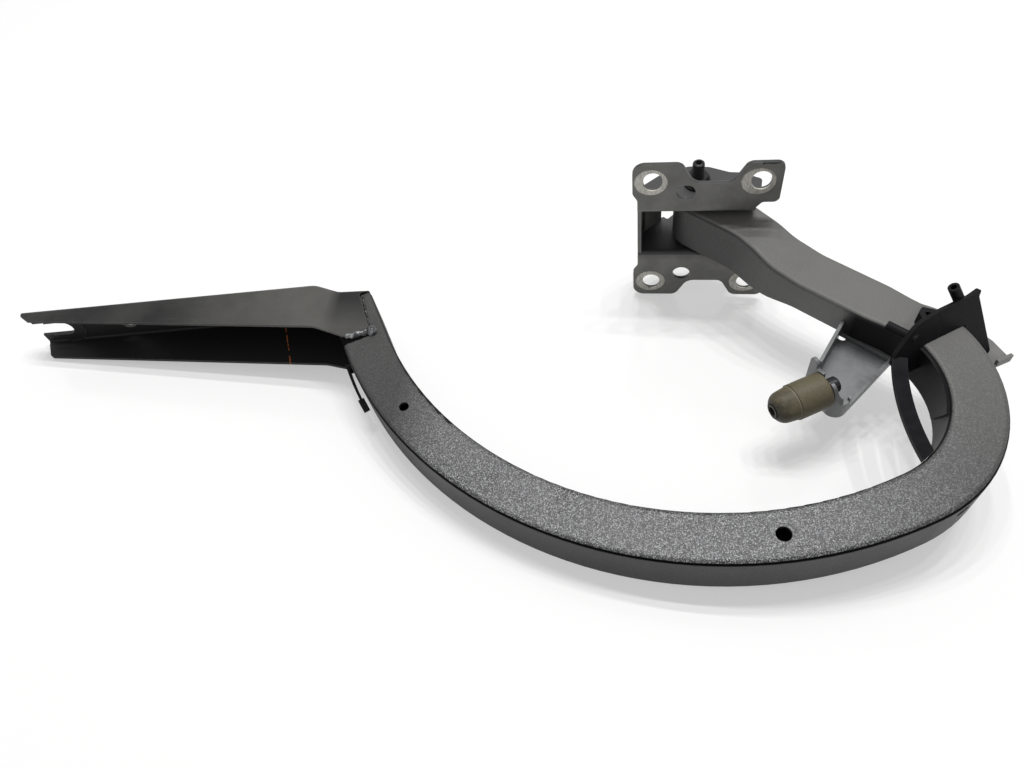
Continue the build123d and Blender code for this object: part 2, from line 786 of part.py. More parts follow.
def bump_bracket():
    """Small pressing under the arm: base, side wall, slotted lip and low rim."""
    plane = stop_plane()
    base_top = -arm_top - stop_base_drop
    base_low = base_top - stop_sheet
    near = arm_plane.y_dir
    left_back = from_arm(stop_left_back)
    left_front = from_arm(stop_left_front)
    right_back = from_arm(stop_right_back)
    lip_start = plane.from_local_coords(Vector(0, -lip_left, 0))
    lip_start = Vector(lip_start.X, lip_start.Y)
    lip_corner = plane.from_local_coords(Vector(0, lip_right, 0))
    lip_corner = Vector(lip_corner.X, lip_corner.Y)
    base = prism(rounded_face([
        (left_back.X, left_back.Y),
        (left_front.X, left_front.Y),
        (lip_start.X, lip_start.Y, 2),
        (lip_corner.X, lip_corner.Y, lip_rounding),
        (right_back.X, right_back.Y),
    ]), base_low, base_top)
    wall = strip([left_back, left_front], [0, 0], stop_sheet, base_low, stop_wall_top)
    lip = strip([lip_start, lip_corner, right_back], [0, lip_rounding, 0], stop_sheet, base_low, lip_horn)
    lip &= lip_envelope(base_low, base_top + rim_height)
    notch = stud_shank / 2 + stud_clearance
    lip -= plane * Pos(0, 0, 25) * Box(10, 2 * notch, 50)
    lip -= plane * Rot(0, 90, 0) * Cylinder(notch, 10)
    deep = left_back - near * stop_lap
    deep_right = right_back - near * stop_lap
    lap = prism(rounded_face([
        (left_back.X, left_back.Y),
        (right_back.X, right_back.Y),
        (deep_right.X, deep_right.Y),
        (deep.X, deep.Y),
    ]), -arm_top - stop_sheet, -arm_top)
    riser = strip([right_back, left_back], [0, 0], stop_sheet, base_low, -arm_top)
    relief_place = from_arm((stop_left_back[0] - stop_relief - stop_sheet / 2, 0))
    relief = upright(relief_place.X, relief_place.Y, stop_relief, base_low - 1, base_top + 1)
    return base + wall + lip + lap + riser - gooseneck_block() - relief


def bump_stop():
    """Moulded rubber, stepped, with a round nose."""
    radius = rubber_diameter / 2
    profile = rounded_face([
        (0, 0),
        (0, radius, rubber_root_rounding),
        (rubber_step_from_root, radius),
        (rubber_step_from_root, radius - rubber_step),
        (rubber_length, radius - rubber_step - 1.5, rubber_nose_rounding),
        (rubber_length, rubber_hole / 2, 1),
        (rubber_length - rubber_hole_depth, rubber_hole / 2),
        (rubber_length - rubber_hole_depth, 0),
    ])
    return stop_plane() * revolve(profile, Axis.X)


def bump_stud():
    """Push-in stud that holds the rubber in the lip."""
    plane = stop_plane()
    shank_length = stop_sheet + stud_clearance
    shank = Pos(-shank_length / 2, 0, 0) * Rot(0, 90, 0) * Cylinder(stud_shank / 2, shank_length)
    head = Cylinder(stud_head / 2, stud_head_length)
    head = fillet(head.edges().sort_by(Axis.Z)[:1], 1.2)
    place = -shank_length - stud_head_length / 2
    return plane * (shank + Pos(place, 0, 0) * Rot(0, 90, 0) * head)


# Cable guide

def guide_plane():
    """X from the sharp bend's centre outwards, Y up the leaning wall."""
    outward = Vector(cos(radians(guide_angle)), sin(radians(guide_angle)))
    towards_arm = Vector(-outward.Y, outward.X)
    lean = radians(guide_lean)
    up = towards_arm * sin(lean) + Vector(0, 0, cos(lean))
    return Plane(origin=(tight_centre[0], tight_centre[1], neck_top), x_dir=outward, z_dir=outward.cross(up))


def guide_wall():
    """Leaning wall across the neck, with a skirt down the outer side; it is thick towards the arm."""
    rim = guide_rim_height
    left = inner_wall - guide_left_reach
    right = outer_wall + guide_right_reach
    lean = radians(guide_lean)
    foot = guide_sheet * tan(lean) - (neck_height - tab_sheet - skirt_gap) / cos(lean)
    face = rounded_face([
        (left, -3, 3),
        (left + 3, 3, 10),
        (inner_wall - 4, rim - 2, 16),
        (inner_wall + 12, rim, 30),
        (outer_wall + 2, rim, 10),
        (right, rim + 2, 1.5),
        (right - 2, rim - 3, 2),
        (right + skirt_spread, foot, 3),
        (outer_wall - 2, foot, 2),
        (outer_wall - 2, -6),
        (inner_wall + 2, -6),
        (inner_wall + 2, -14),
        (left + 8, -14, 4),
    ])
    return guide_plane() * prism(face, -guide_sheet, 0)


def bend_band(outer_radius, inner_radius, start, sweep):
    """Part of a flat ring round the sharp bend's centre."""
    outer = CenterArc(tight_centre, outer_radius, start, sweep)
    inner = CenterArc(tight_centre, inner_radius, start, sweep)
    return Face(Wire([outer, inner, Line(outer @ 0, inner @ 0), Line(outer @ 1, inner @ 1)]))


def neck_envelope():
    """The neck with its seat clearance, which the guide goes round."""
    clear = guide_seat_clearance
    face = bend_band(outer_wall + clear, inner_wall - clear, -60, tight_end + 60)
    top = neck_top + clear
    return prism(face, -top, top)


def peg(origin, direction, outer, bore, length):
    """Hollow round peg."""
    plane = Plane(origin=origin, z_dir=direction)
    return extrude(plane * (Circle(outer / 2) - Circle(bore / 2)), length)


def strap():
    """Flat band that bridges the inside of the bend."""
    start = polar(tight_centre, inner_wall - strap_start, guide_angle)
    middle = polar(tight_centre, inner_wall - strap_middle, strap_middle_angle)
    end = polar(tight_centre, inner_wall + 4, strap_end_angle)
    run = ThreePointArc(start, middle, end)
    band = extrude(trace(run, strap_width), strap_thickness, dir=(0, 0, 1))
    return Pos(0, 0, neck_top - strap_thickness) * band


def liner():
    """Thin skin on the neck's inner wall, its end cut at a slant."""
    outer_radius = inner_wall - guide_seat_clearance
    reach = 30
    sweep = guide_angle + 2 - liner_end_angle + reach
    face = bend_band(outer_radius, outer_radius - liner_thickness, liner_end_angle - reach, sweep)
    skin = prism(face, 4 - neck_top, neck_top - 1)
    end = polar(tight_centre, inner_wall, liner_end_angle)
    side = 4 * neck_height
    cutter = Rot(0, 0, liner_end_angle) * Rot(liner_end_slant, 0, 0) * Pos(0, -side / 2, 0) * Box(side, side, side)
    return skin - Pos(end.X, end.Y, 0) * cutter


def half_space(side):
    """Block on one side of the guide's seam."""
    plane = guide_plane()
    size = 200
    shift = side * (size / 2 + guide_seam_gap / 2) + inner_wall + guide_seam
    return plane * Pos(shift, 0, 0) * Box(size, size, size)


def latch_box():
    """Open three-sided box on the arm's side of the guide, over its seam."""
    plane = guide_plane()
    seam = inner_wall + guide_seam
    outward = Vector(plane.x_dir.X, plane.x_dir.Y)
    shape = Plane(origin=(tight_centre[0], tight_centre[1], 0), x_dir=outward, z_dir=(0, 0, 1))
    low = neck_top + guide_seat_clearance
    reach = 200
    lean = radians(guide_lean)
    root = clip_height * tan(lean) + guide_sheet / cos(lean) + clip_clearance
    corners = [
        (seam + 1, 0),
        (seam + 1, root),
        (seam + 1 - clip_width / 2, root),
        (seam - 4, root + clip_reach - 2, 1.5),
        (seam, root + clip_reach, 1.5),
        (seam + clip_width / 2, root + 2, 1),
        (seam + clip_width / 2, 0),
    ]
    block = shape * prism(rounded_face(corners), low, low + clip_height)
    inside = shape * prism(rounded_face([
        (seam - 3, root + 2),
        (seam - 3 + clip_wall, root + clip_reach - 2 * clip_wall),
        (seam + clip_width / 2 - clip_wall - 1, root + 2),
    ]), low + clip_wall, low + clip_height + 1)
    behind = plane * Pos(0, 0, (reach - guide_sheet) / 2) * Box(reach, reach, reach)
    return block - inside - behind


def guide_inner_half():
    """Guide left of the seam: wall, peg, band and liner."""
    plane = guide_plane()
    wall = guide_wall() & half_space(-1)
    root = plane.from_local_coords(Vector(inner_wall + peg_root[0], peg_root[1], 0))
    tube = peg(root, arm_heading, peg_outer, peg_bore, peg_length)
    return wall + strap() + liner() + tube - neck_envelope()


def guide_outer_half():
    """Guide right of the seam: wall, skirt, upright peg and latch box."""
    plane = guide_plane()
    wall = guide_wall() & half_space(1)
    root = plane.from_local_coords(Vector(outer_wall + peg_two_root[0], peg_two_root[1], -peg_two_outer / 2 - 1))
    lean = radians(peg_two_lean)
    direction = plane.y_dir * cos(lean) - plane.x_dir * sin(lean)
    tube = peg(root, direction, peg_two_outer, peg_two_bore, peg_two_length)
    return wall + tube + latch_box() - neck_envelope()


# Tab and clip

def spring_tab():
    """Rounded ear with a turned-up lip at the foot of the neck's outer wall."""
    outward = Vector(cos(radians(tab_angle)), sin(radians(tab_angle)))
    plane = Plane(origin=(tight_centre[0], tight_centre[1], -neck_top), x_dir=outward, z_dir=(0, 0, 1))
    half = tab_width / 2
    end = outer_wall + tab_reach
    face = rounded_face([
        (outer_wall - 3, -half),
        (end, -half),
        (end, half, tab_rounding),
        (outer_wall - 3, half),
    ])
    ear = extrude(plane * face, tab_sheet)
    lip_start = outer_wall + tab_lip_start
    lip = rounded_face([
        (lip_start, -half),
        (lip_start + tab_lip_length, -half),
        (lip_start + tab_lip_length, tab_sheet - half),
        (lip_start, tab_sheet - half),
    ])
    ear += extrude(plane * lip, tab_sheet + tab_lip)
    return ear - upright(tight_centre[0], tight_centre[1], outer_wall, -neck_height, neck_height)


def wall_band(gap, thickness, start, sweep, height):
    """Curved block along the neck's outer wall on the long bend, off it by a gap."""
    inner_radius = front_radius + neck_half + gap
    outer = CenterArc(front_centre, inner_radius + thickness, start, sweep)
    inner = CenterArc(front_centre, inner_radius, start, sweep)
    face = Face(Wire([outer, inner, Line(outer @ 0, inner @ 0), Line(outer @ 1, inner @ 1)]))
    return prism(face, tie_height - height / 2, tie_height + height / 2)


def tie_clip():
    """Push-in button with the stub of a tie and its head along the neck's outer wall."""
    wall = front_radius + neck_half
    place = polar(front_centre, wall, tie_angle)
    outward = Vector(cos(radians(tie_angle)), sin(radians(tie_angle)))
    reach = tie_strap_gap + tie_strap_thickness
    seat = Plane(origin=(place.X, place.Y, tie_height), z_dir=outward)
    button = extrude(seat * Circle(tie_button / 2), reach)
    band = wall_band(tie_strap_gap, tie_strap_thickness, tie_angle, tie_strap_sweep, tie_strap_width)
    head_sweep = degrees(tie_head_length / wall)
    head_start = tie_angle + tie_strap_sweep - head_sweep / 2
    head_gap = tie_strap_gap + (tie_strap_thickness - tie_head_thickness) / 2
    head = wall_band(head_gap, tie_head_thickness, head_start, head_sweep, tie_head_width)
    return button + band + head - prism(neck_outline(), -neck_top, neck_top)


channel = lid_channel()
upper_shell = neck_upper_shell()
nodes = {
    "body_bracket": body_bracket(),
    "pivot_bolt": pivot_bolt(),
    "pivot_nut": pivot_nut(),
    "upper_washer": washer(1),
    "lower_washer": washer(-1),
    "spacer_sleeve": spacer_sleeve(),
    "pivot_tube": pivot_tube(),
    "upper_bush": flanged_bush(1),
    "lower_bush": flanged_bush(-1),
    "neck_upper_shell": upper_shell,
    "neck_lower_shell": neck_lower_shell(),
    "lid_channel": channel,
    "lid_weld": lid_weld(channel, upper_shell),
    "bump_bracket": bump_bracket(),
    "bump_stop": bump_stop(),
    "bump_stud": bump_stud(),
    "guide_inner_half": guide_inner_half(),
    "guide_outer_half": guide_outer_half(),
    "spring_tab": spring_tab(),
    "tie_clip": tie_clip(),
}

os.makedirs("parts", exist_ok=True)
for name, shape in nodes.items():
    export_step(shape, f"parts/{name}.step")
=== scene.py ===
import bpy
from math import cos, pi, radians, sin
from mathutils import Matrix, Vector


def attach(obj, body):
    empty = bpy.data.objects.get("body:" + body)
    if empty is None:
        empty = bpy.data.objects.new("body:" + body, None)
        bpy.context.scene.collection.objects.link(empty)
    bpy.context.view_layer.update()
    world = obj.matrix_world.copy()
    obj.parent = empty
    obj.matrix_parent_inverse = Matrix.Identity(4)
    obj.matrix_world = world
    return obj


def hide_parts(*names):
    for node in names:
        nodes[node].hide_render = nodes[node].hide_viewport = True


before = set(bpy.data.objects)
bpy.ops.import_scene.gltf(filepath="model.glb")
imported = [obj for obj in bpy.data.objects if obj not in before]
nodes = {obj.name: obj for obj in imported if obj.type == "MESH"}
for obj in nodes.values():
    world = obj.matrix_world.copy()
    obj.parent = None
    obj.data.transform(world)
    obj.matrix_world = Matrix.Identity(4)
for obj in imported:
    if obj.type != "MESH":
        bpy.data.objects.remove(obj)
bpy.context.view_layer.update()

# A trunk lid hinge that lies on a glossy white floor. Metres, in the frame of the part:
# origin between the locating holes of the body bracket, +X along its flanges, +Z along the pivot.
# A pair of numbers named spread is where a mask begins and where it is full.

# Camera, as the photograph was taken
photo_width = 1024
focal_in_pixels = 769.0
sensor_width = 36.0
camera_place = Vector((-0.01565, -0.38029, 0.38770))
camera_right = Vector((0.98263, 0.12496, -0.13721))
camera_up = Vector((-0.02893, 0.83344, 0.55186))
camera_near = 0.01
camera_far = 50.0

# Floor, touched by the lower flange, the long bend and the channel's tip
flange_contact = Vector((-0.0262, -0.0025, -0.0609))
bend_contact = Vector((-0.0605, -0.2309, -0.0155))
tip_contact = Vector((-0.4471, -0.1044, -0.0175))
floor_gap = 0.0004
floor_size = 14.0
floor_white = (0.95, 0.95, 0.945)
floor_roughness = 0.16
floor_glow = 0.42

# Studio: rows of small lamps, whose middle is mirrored to the camera by the long bend
glare_place = Vector((0.0036, -0.2243, 0.0155))
lamp_height = 2.2
lamp_size = 0.07
lamp_columns = 4
lamp_rows = 2
lamp_spacing = (0.40, 0.36)
lamp_brightness = 380.0
world_white = (1.0, 1.0, 1.0)
world_brightness = 0.42

# Orange peel: a fine grain with pale crowns, and cells of which some glint in their middle; crowns and
# glints are painted highlights
peel_scale = 1500.0
peel_detail = 2.5
peel_raggedness = 0.65
crown_spread = (0.50, 0.60)
painted_glint_spread = (0.40, 0.12)
painted_glint_choice_spread = (0.35, 0.75)

# Rolled edges, told by how far the surface looks up; the dark line along them is a painted reflection
off_wall_spread = (0.25, 0.38)
off_top_spread = (0.80, 0.70)

# Flat faces, told by how square they are to an axis
flat_spread = (0.66, 0.78)

# Rounded and worn edges
bevel_samples = 4
rounding = 0.0005
wear_radius = 0.0006
wear_breakup = 0.5
wear_turn_spread = (0.01, 0.12)
wear_scale = 260.0
wear_detail = 4.0
wear_spread = (0.35, 0.65)

# Dust and streaks
dust_scale = 60.0
dust_amount = 0.3
dust_detail = 6.0
dust_raggedness = 0.6
dust_spread = (0.42, 0.72)
streak_turn = (0.3, 0.2, 0.7)
streak_stretch = (1.0, 14.0, 6.0)
streak_scale = 45.0
streak_detail = 5.0
streak_spread = (0.60, 0.72)

# Bare rings that the bolt washers left on the flanges, with a worn outline
washer_radius = 0.0103
flange_front = -0.0025
flange_skin = 0.0011
ring_centres = (
    (-0.0222, 0.0466),
    (0.0433, 0.0462),
    (-0.0216, -0.0466),
    (0.0442, -0.0468),
)
rim_scale = 420.0
rim_detail = 3.0
rim_waver = 0.0009
rim_spread = (0.00012, -0.00018)

# Neck coat
coat_black = (0.010, 0.010, 0.010)
coat_wall = (0.009, 0.009, 0.009)
coat_dusty = (0.085, 0.084, 0.080)
coat_crown_highlight = (0.330, 0.336, 0.346)
coat_painted_glint = (0.70, 0.71, 0.73)
# Black of the painted dark reflection on rolled edges and of the painted shadow beside the weld, and of
# real chips
shade_reflection_and_chip_black = (0.004, 0.004, 0.004)
arm_satin = (0.110, 0.108, 0.103)
arm_wall_painted_shade_by_pivot = (0.036, 0.036, 0.035)
arm_wall_by_stop = (0.116, 0.116, 0.113)
inner_wall_painted_shade = (0.013, 0.013, 0.013)
neck_specular = 0.42
neck_peel_scale = 1250.0
neck_dust = {"Scale": 38.0, "Amount": 0.30}
neck_wear = {"Radius": 0.0007, "Breakup": 0.7}
neck_wear_share = 0.20
neck_bump = {"distance": 0.0003, "strength": 0.9}
peel_left_on_satin = 0.07
edge_reflection_left_on_arm = 0.25
dust_left_on_walls = 0.25
crown_highlight_share = 0.65
painted_glint_share = 0.75
neck_roughness = 0.50
coarse_roughness = -0.23
crown_roughness = -0.10
dust_roughness = 0.20
tail_roughness = 0.15
edge_roughness = 0.35

# Where the coat turns from satin on the arm to coarse and sparkling on the long bend
satin_from_y = -0.080
coarse_from_y = -0.198

# The tail by the channel is duller than the rest of the long bend, and darker with painted shade
tail_full_x = -0.168
tail_from_x = -0.135
tail_sparkle_loss = -0.88
tail_painted_shade = 0.70

# The sparkle calms down towards the sharp bend
calm_from_x = 0.070
calm_full_x = 0.150
calm_sparkle = 0.22

# Inner walls: the arm's walls have painted shade by the pivot that gives way towards the stop bracket, and
# past the bracket the wall has painted shade
wall_shade_to_x = 0.030
wall_unshaded_from_x = 0.085
inner_shade_from_x = 0.092
inner_shade_full_x = 0.100
inner_shade_facing_spread = (-0.10, -0.35)
inner_shade_dullness = 0.5

# Weld between the channel and the neck's flat top
neck_top = 0.0155
bead_start = Vector((-0.20856, -0.10476, 0.0161))
bead_end = Vector((-0.19392, -0.09996, 0.0161))
bead_radius = 0.0020
bead_drops = 9
bead_unevenness = 0.12
blob_radius = 0.0036
seam_start = Vector((-0.2071, -0.0712, 0.0160))
seam_end = Vector((-0.1968, -0.0965, 0.0160))
seam_radius = 0.0007
seam_drops = 22
seam_unevenness = 0.30
drop_rhythm = 2.4
drop_subdivisions = 3
weld_voxel = 0.00022
weld_smoothing = 0.5
weld_smoothing_rounds = 2
weld_crease = radians(40)

# Painted shadow beside the bead: a wedge on the neck's top, wide at its open end
crevice_start = Vector((-0.2115, -0.1078, 0.0155))
crevice_end = Vector((-0.1925, -0.1021, 0.0155))
crevice_half = 0.0046
crevice_half_at_end = crevice_half / 6
crevice_waver = crevice_half / 3
crevice_scale = 500.0
crevice_detail = 3.0

# Weld metal
weld_soot = (0.020, 0.020, 0.021)
weld_grey = (0.110, 0.112, 0.117)
weld_bright = (0.42, 0.43, 0.45)
weld_metal = 0.35
weld_specular = 0.6
weld_roughness = 0.34
weld_ripple = {"Scale": 120.0, "Distortion": 3.0, "Detail": 2.0}
weld_lump_scale = 330.0
weld_lump_detail = 3.0
weld_soot_stop = 0.36
weld_grey_stop = 0.50
weld_bright_stop = 0.70
weld_bump = {"distance": 0.0004, "strength": 0.6}

# Bracket coat
flange_satin = (0.115, 0.114, 0.107)
bracket_painted_shade = (0.017, 0.017, 0.018)
worn_light = (0.28, 0.275, 0.26)
bracket_specular = 0.5
bracket_peel = {"Scale": 1800.0, "Coarse": 0.15}
bracket_dust = {"Scale": 55.0, "Amount": 0.35}
bracket_wear = {"Radius": 0.0006, "Breakup": 0.25}
bracket_wear_share = 0.50
bracket_roughness = 0.56
bracket_grain_roughness = -0.15
bracket_bump = {"distance": 0.0002, "strength": 0.35}

# Bare zinc under the washers, brushed
bare_zinc = (0.52, 0.505, 0.46)
dull_zinc = (0.25, 0.24, 0.215)
dull_zinc_stop = 0.30
bare_zinc_stop = 0.62
zinc_metal = 0.55
zinc_roughness = -0.08
brush_turn = (0.0, 0.6, 0.0)
brush_stretch = (9.0, 1.0, 1.0)
brush_scale = 260.0
brush_detail = 4.0

# Chipped dark patch along the top edge of the bracket's right ear
chip_from_x = 0.0440
chip_to_x = 0.0545
chip_from_z = 0.0599
chip_waver = 0.0030
chip_scale = 300.0
chip_detail = 4.0

# Channel coat: paler towards the heel and dusty in patches above a height, with painted shade at the back
# of its heel, whose curve is not modelled
channel_black = (0.013, 0.013, 0.013)
channel_dusty = (0.098, 0.096, 0.089)
channel_heel_painted_shade = (0.012, 0.012, 0.012)
channel_specular = 0.17
channel_peel = {"Scale": 1500.0, "Coarse": 0.25}
channel_dust = {"Scale": 26.0, "Amount": 0.30}
channel_wear = {"Radius": 0.0007, "Breakup": 0.5}
channel_wear_share = 0.45
channel_outside_z = 0.0125
channel_streak_share = 0.4
channel_roughness = 0.62
channel_grain_roughness = -0.25
channel_dust_roughness = 0.15
channel_bump = {"distance": 0.0002, "strength": 0.4}
paler_from_x = -0.35
paler_full_x = -0.26
paler_share = 0.75
heel_from_x = -0.2300
heel_full_x = -0.2215
heel_front_y = -0.098
heel_back_y = -0.074
heel_front_share = 0.25

# Thin copper scratch low inside the channel
copper_scratch = (0.75, 0.22, 0.07)
scratch_place = Vector((-0.2679, -0.0855))
scratch_lean = 0.4175
scratch_width = 0.0005
scratch_core = scratch_width / 3
scratch_top = -0.004
scratch_facing = 0.3
scratch_waver = 0.002
scratch_waver_scale = 160.0
scratch_waver_detail = 3.0
scratch_gap_scale = 420.0
scratch_gap_detail = 2.0
scratch_gap_spread = (0.38, 0.52)

# Stop bracket coat
stop_bracket_grey = (0.142, 0.146, 0.151)
stop_bracket_smudge = (0.085, 0.088, 0.092)
stop_bracket_specular = 0.5
stop_bracket_peel = {"Scale": 1600.0, "Coarse": 0.2}
stop_bracket_dust = {"Scale": 90.0, "Amount": 0.8}
stop_bracket_wear = {"Radius": 0.0006, "Breakup": 0.2}
stop_bracket_wear_share = 0.5
stop_bracket_roughness = 0.50
stop_bracket_grain_roughness = -0.2
stop_bracket_bump = {"distance": 0.0002, "strength": 0.3}

# Fasteners and the sleeve; the bolt's tip has a thread
fastener_black = (0.012, 0.012, 0.013)
fastener_roughness = 0.28
sleeve_steel = (0.20, 0.20, 0.20)
sleeve_roughness = 0.30
fastener_metal = 0.6
fastener_dust = {"Scale": 220.0, "Amount": 0.6}
fastener_wear = {"Radius": 0.0004, "Breakup": 0.4}
fastener_dusty_gain = 2.2
fastener_worn_gain = 5.0
fastener_dust_roughness = 0.25
fastener_bump = {"distance": 0.0002, "strength": 0.3, "radius": 0.0003}
bolt_pitch = 0.00125
thread_bump = {"distance": 0.0003, "strength": 0.8, "radius": 0.0003}

# Moulded plastic; the guide's strap is duller than its wall
plastic_black = (0.004, 0.004, 0.005)
plastic_scuffed = (0.009, 0.009, 0.010)
plastic_rubbed = (0.09, 0.09, 0.09)
plastic_specular = 0.10
plastic_grain_scale = 2600.0
plastic_grain_detail = 2.0
plastic_dust = {"Scale": 120.0, "Amount": 0.6}
plastic_wear = {"Radius": 0.0005, "Breakup": 0.3}
plastic_wear_share = 0.45
plastic_roughness = 0.38
plastic_grain_roughness = 0.25
plastic_bump = {"distance": 0.0001, "strength": 0.25, "radius": 0.0004}
strap_from_y = -0.112
strap_full_y = -0.122
strap_dullness = 0.7

# Rubber bump stop, sooty towards its nose, with a fine mould ring
stop_root = Vector((0.0786, -0.1246, 0.001))
stop_heading = radians(209.0)
rubber_length = 0.033
rubber_olive = (0.118, 0.102, 0.062)
rubber_shade = (0.084, 0.072, 0.043)
rubber_shade_stop = 0.3
rubber_olive_stop = 0.7
rubber_specular = 0.3
rubber_grain_scale = 900.0
rubber_grain_detail = 3.0
rubber_roughness = 0.45
rubber_grain_roughness = 0.2
rubber_bump = {"distance": 0.0002, "strength": 0.35, "radius": 0.0006}
rubber_soot = (0.018, 0.017, 0.015)
rubber_clean_length = 0.010
soot_at_root = -0.10
soot_at_nose = 0.30
soot_scale = 130.0
soot_detail = 6.0
soot_raggedness = 0.65
soot_spread = (0.62, 0.90)
soot_share = 0.85
mould_ring = (0.22, 0.20, 0.15)
mould_ring_from_root = 0.0205
mould_ring_spread = (0.0005, 0.0002)
mould_ring_share = 0.6

# Spring tab
tab_grey = (0.150, 0.148, 0.143)
tab_smudge = (0.100, 0.099, 0.095)
tab_rubbed = (0.36, 0.36, 0.35)
tab_specular = 0.4
tab_dust = {"Scale": 160.0, "Amount": 0.8}
tab_wear = {"Radius": 0.0005, "Breakup": 0.2}
tab_wear_share = 0.6
tab_roughness = 0.5
tab_bump = {"distance": 0.0001, "strength": 0.2}


# Node helpers

def join(tree, source, target):
    """Links an output to an input, or sets a plain value on the input."""
    if isinstance(source, bpy.types.NodeSocket):
        tree.links.new(source, target)
    elif target.type == "RGBA":
        target.default_value = (*source, 1.0)
    else:
        target.default_value = source


def new_group(name, inputs, outputs):
    """Shader node group with named inputs (name, kind, default) and outputs (name, kind)."""
    group = bpy.data.node_groups.new(name, "ShaderNodeTree")
    for label, kind, default in inputs:
        socket = group.interface.new_socket(label, in_out="INPUT", socket_type="NodeSocket" + kind)
        if default is not None:
            socket.default_value = default
    for label, kind in outputs:
        group.interface.new_socket(label, in_out="OUTPUT", socket_type="NodeSocket" + kind)
    entry = group.nodes.new("NodeGroupInput")
    leave = group.nodes.new("NodeGroupOutput")
    return group, entry.outputs, leave.inputs


def add_node(tree, kind, values=None, **settings):
    """Node with its settings and input values."""
    node = tree.nodes.new("ShaderNode" + kind)
    for key, value in settings.items():
        setattr(node, key, value)
    for key, value in (values or {}).items():
        join(tree, value, node.inputs[key])
    return node


def calculate(tree, operation, first, second=0.0, third=0.0):
    """Result of a Math node."""
    return add_node(tree, "Math", {0: first, 1: second, 2: third}, operation=operation).outputs[0]


def multiply(tree, first, *others):
    """Product of values and masks."""
    for other in others:
        first = calculate(tree, "MULTIPLY", first, other)
    return first


def highest(tree, first, *others):
    """Largest of values and masks."""
    for other in others:
        first = calculate(tree, "MAXIMUM", first, other)
    return first


def add_shares(tree, start, *parts):
    """Start value plus a share of each mask, given as (mask, share)."""
    for mask, share in parts:
        start = calculate(tree, "MULTIPLY_ADD", mask, share, start)
    return start


def at_least(tree, mask, least):
    """Mask that keeps a least value where it would be nothing."""
    return add_shares(tree, least, (mask, 1.0 - least))


def opposite(tree, mask):
    """Mask of everything that a mask leaves out."""
    return calculate(tree, "SUBTRACT", 1.0, mask)


def fade(tree, value, start, end, low=0.0, high=1.0):
    """Goes from low, where the value is start, to high at end, and stays level beyond them."""
    return add_node(tree, "MapRange", {0: value, 1: start, 2: end, 3: low, 4: high}).outputs[0]


def noise(tree, place, scale, detail, raggedness=0.5):
    """Random pattern between 0 and 1."""
    values = {"Vector": place, "Scale": scale, "Detail": detail, "Roughness": raggedness}
    return add_node(tree, "TexNoise", values).outputs["Fac"]


def split(tree, vector):
    """The X, Y and Z of a vector."""
    return add_node(tree, "SeparateXYZ", {0: vector}).outputs


def turned_place(tree, place, turn, stretch):
    """Place that is turned and stretched for a pattern."""
    return add_node(tree, "Mapping", {"Vector": place, "Rotation": turn, "Scale": stretch}).outputs[0]


def distance_along(tree, offset, heading):
    """How far an offset goes along a heading."""
    values = {0: offset, 1: tuple(heading)}
    return add_node(tree, "VectorMath", values, operation="DOT_PRODUCT").outputs["Value"]


def offset_from(tree, place, origin):
    """Offset of a place from an origin."""
    return add_node(tree, "VectorMath", {0: place, 1: tuple(origin)}, operation="SUBTRACT").outputs[0]


def ramp(tree, value, stops):
    """Colour ramp with stops of (position, colour)."""
    node = add_node(tree, "ValToRGB", {"Fac": value})
    elements = node.color_ramp.elements
    while len(elements) < len(stops):
        elements.new(0.5)
    for element, (position, colour) in zip(elements, stops):
        element.position = position
        element.color = (*colour, 1.0)
    return node.outputs["Color"]


def blend_colours(tree, factor, first, second):
    """Mix of two colours."""
    return add_node(tree, "Mix", data_type="RGBA", values={0: factor, 6: first, 7: second}).outputs[2]


def tint(tree, base, colour, mask, share=1.0):
    """Base turned towards a colour where the mask is, as far as the share."""
    factor = mask if share == 1.0 else multiply(tree, mask, share)
    return blend_colours(tree, factor, base, colour)


# Shared effects

def sparkle_group():
    """Orange peel of the dip coat: fine bumps, with pale crowns and glints where it is coarse, which are
    painted highlights.
    """
    group, given, result = new_group(
        "Orange peel",
        [("Vector", "Vector", None), ("Scale", "Float", peel_scale), ("Coarse", "Float", 1.0)],
        [("Painted glint", "Float"), ("Grain", "Float"), ("Height", "Float"), ("Crown", "Float")],
    )
    grain = noise(group, given["Vector"], given["Scale"], peel_detail, peel_raggedness)
    values = {"Vector": given["Vector"], "Scale": given["Scale"]}
    cells = add_node(group, "TexVoronoi", values, feature="F1").outputs
    specks = fade(group, cells["Distance"], *painted_glint_spread)
    chosen = fade(group, cells["Color"], *painted_glint_choice_spread)
    crowns = fade(group, grain, *crown_spread)
    join(group, multiply(group, specks, chosen, given["Coarse"]), result["Painted glint"])
    join(group, grain, result["Grain"])
    join(group, multiply(group, grain, given["Coarse"]), result["Height"])
    join(group, multiply(group, crowns, given["Coarse"]), result["Crown"])
    return group


def rolled_edge_reflection_group():
    """Mask of the rolled edges between the flat top and the walls, where a dark reflection is painted."""
    group, given, result = new_group(
        "Rolled edge dark reflection",
        [("Normal", "Vector", None), ("Amount", "Float", 1.0)],
        [("Mask", "Float")],
    )
    upward = calculate(group, "ABSOLUTE", split(group, given["Normal"])["Z"])
    off_wall = fade(group, upward, *off_wall_spread)
    off_top = fade(group, upward, *off_top_spread)
    join(group, multiply(group, off_wall, off_top, given["Amount"]), result["Mask"])
    return group


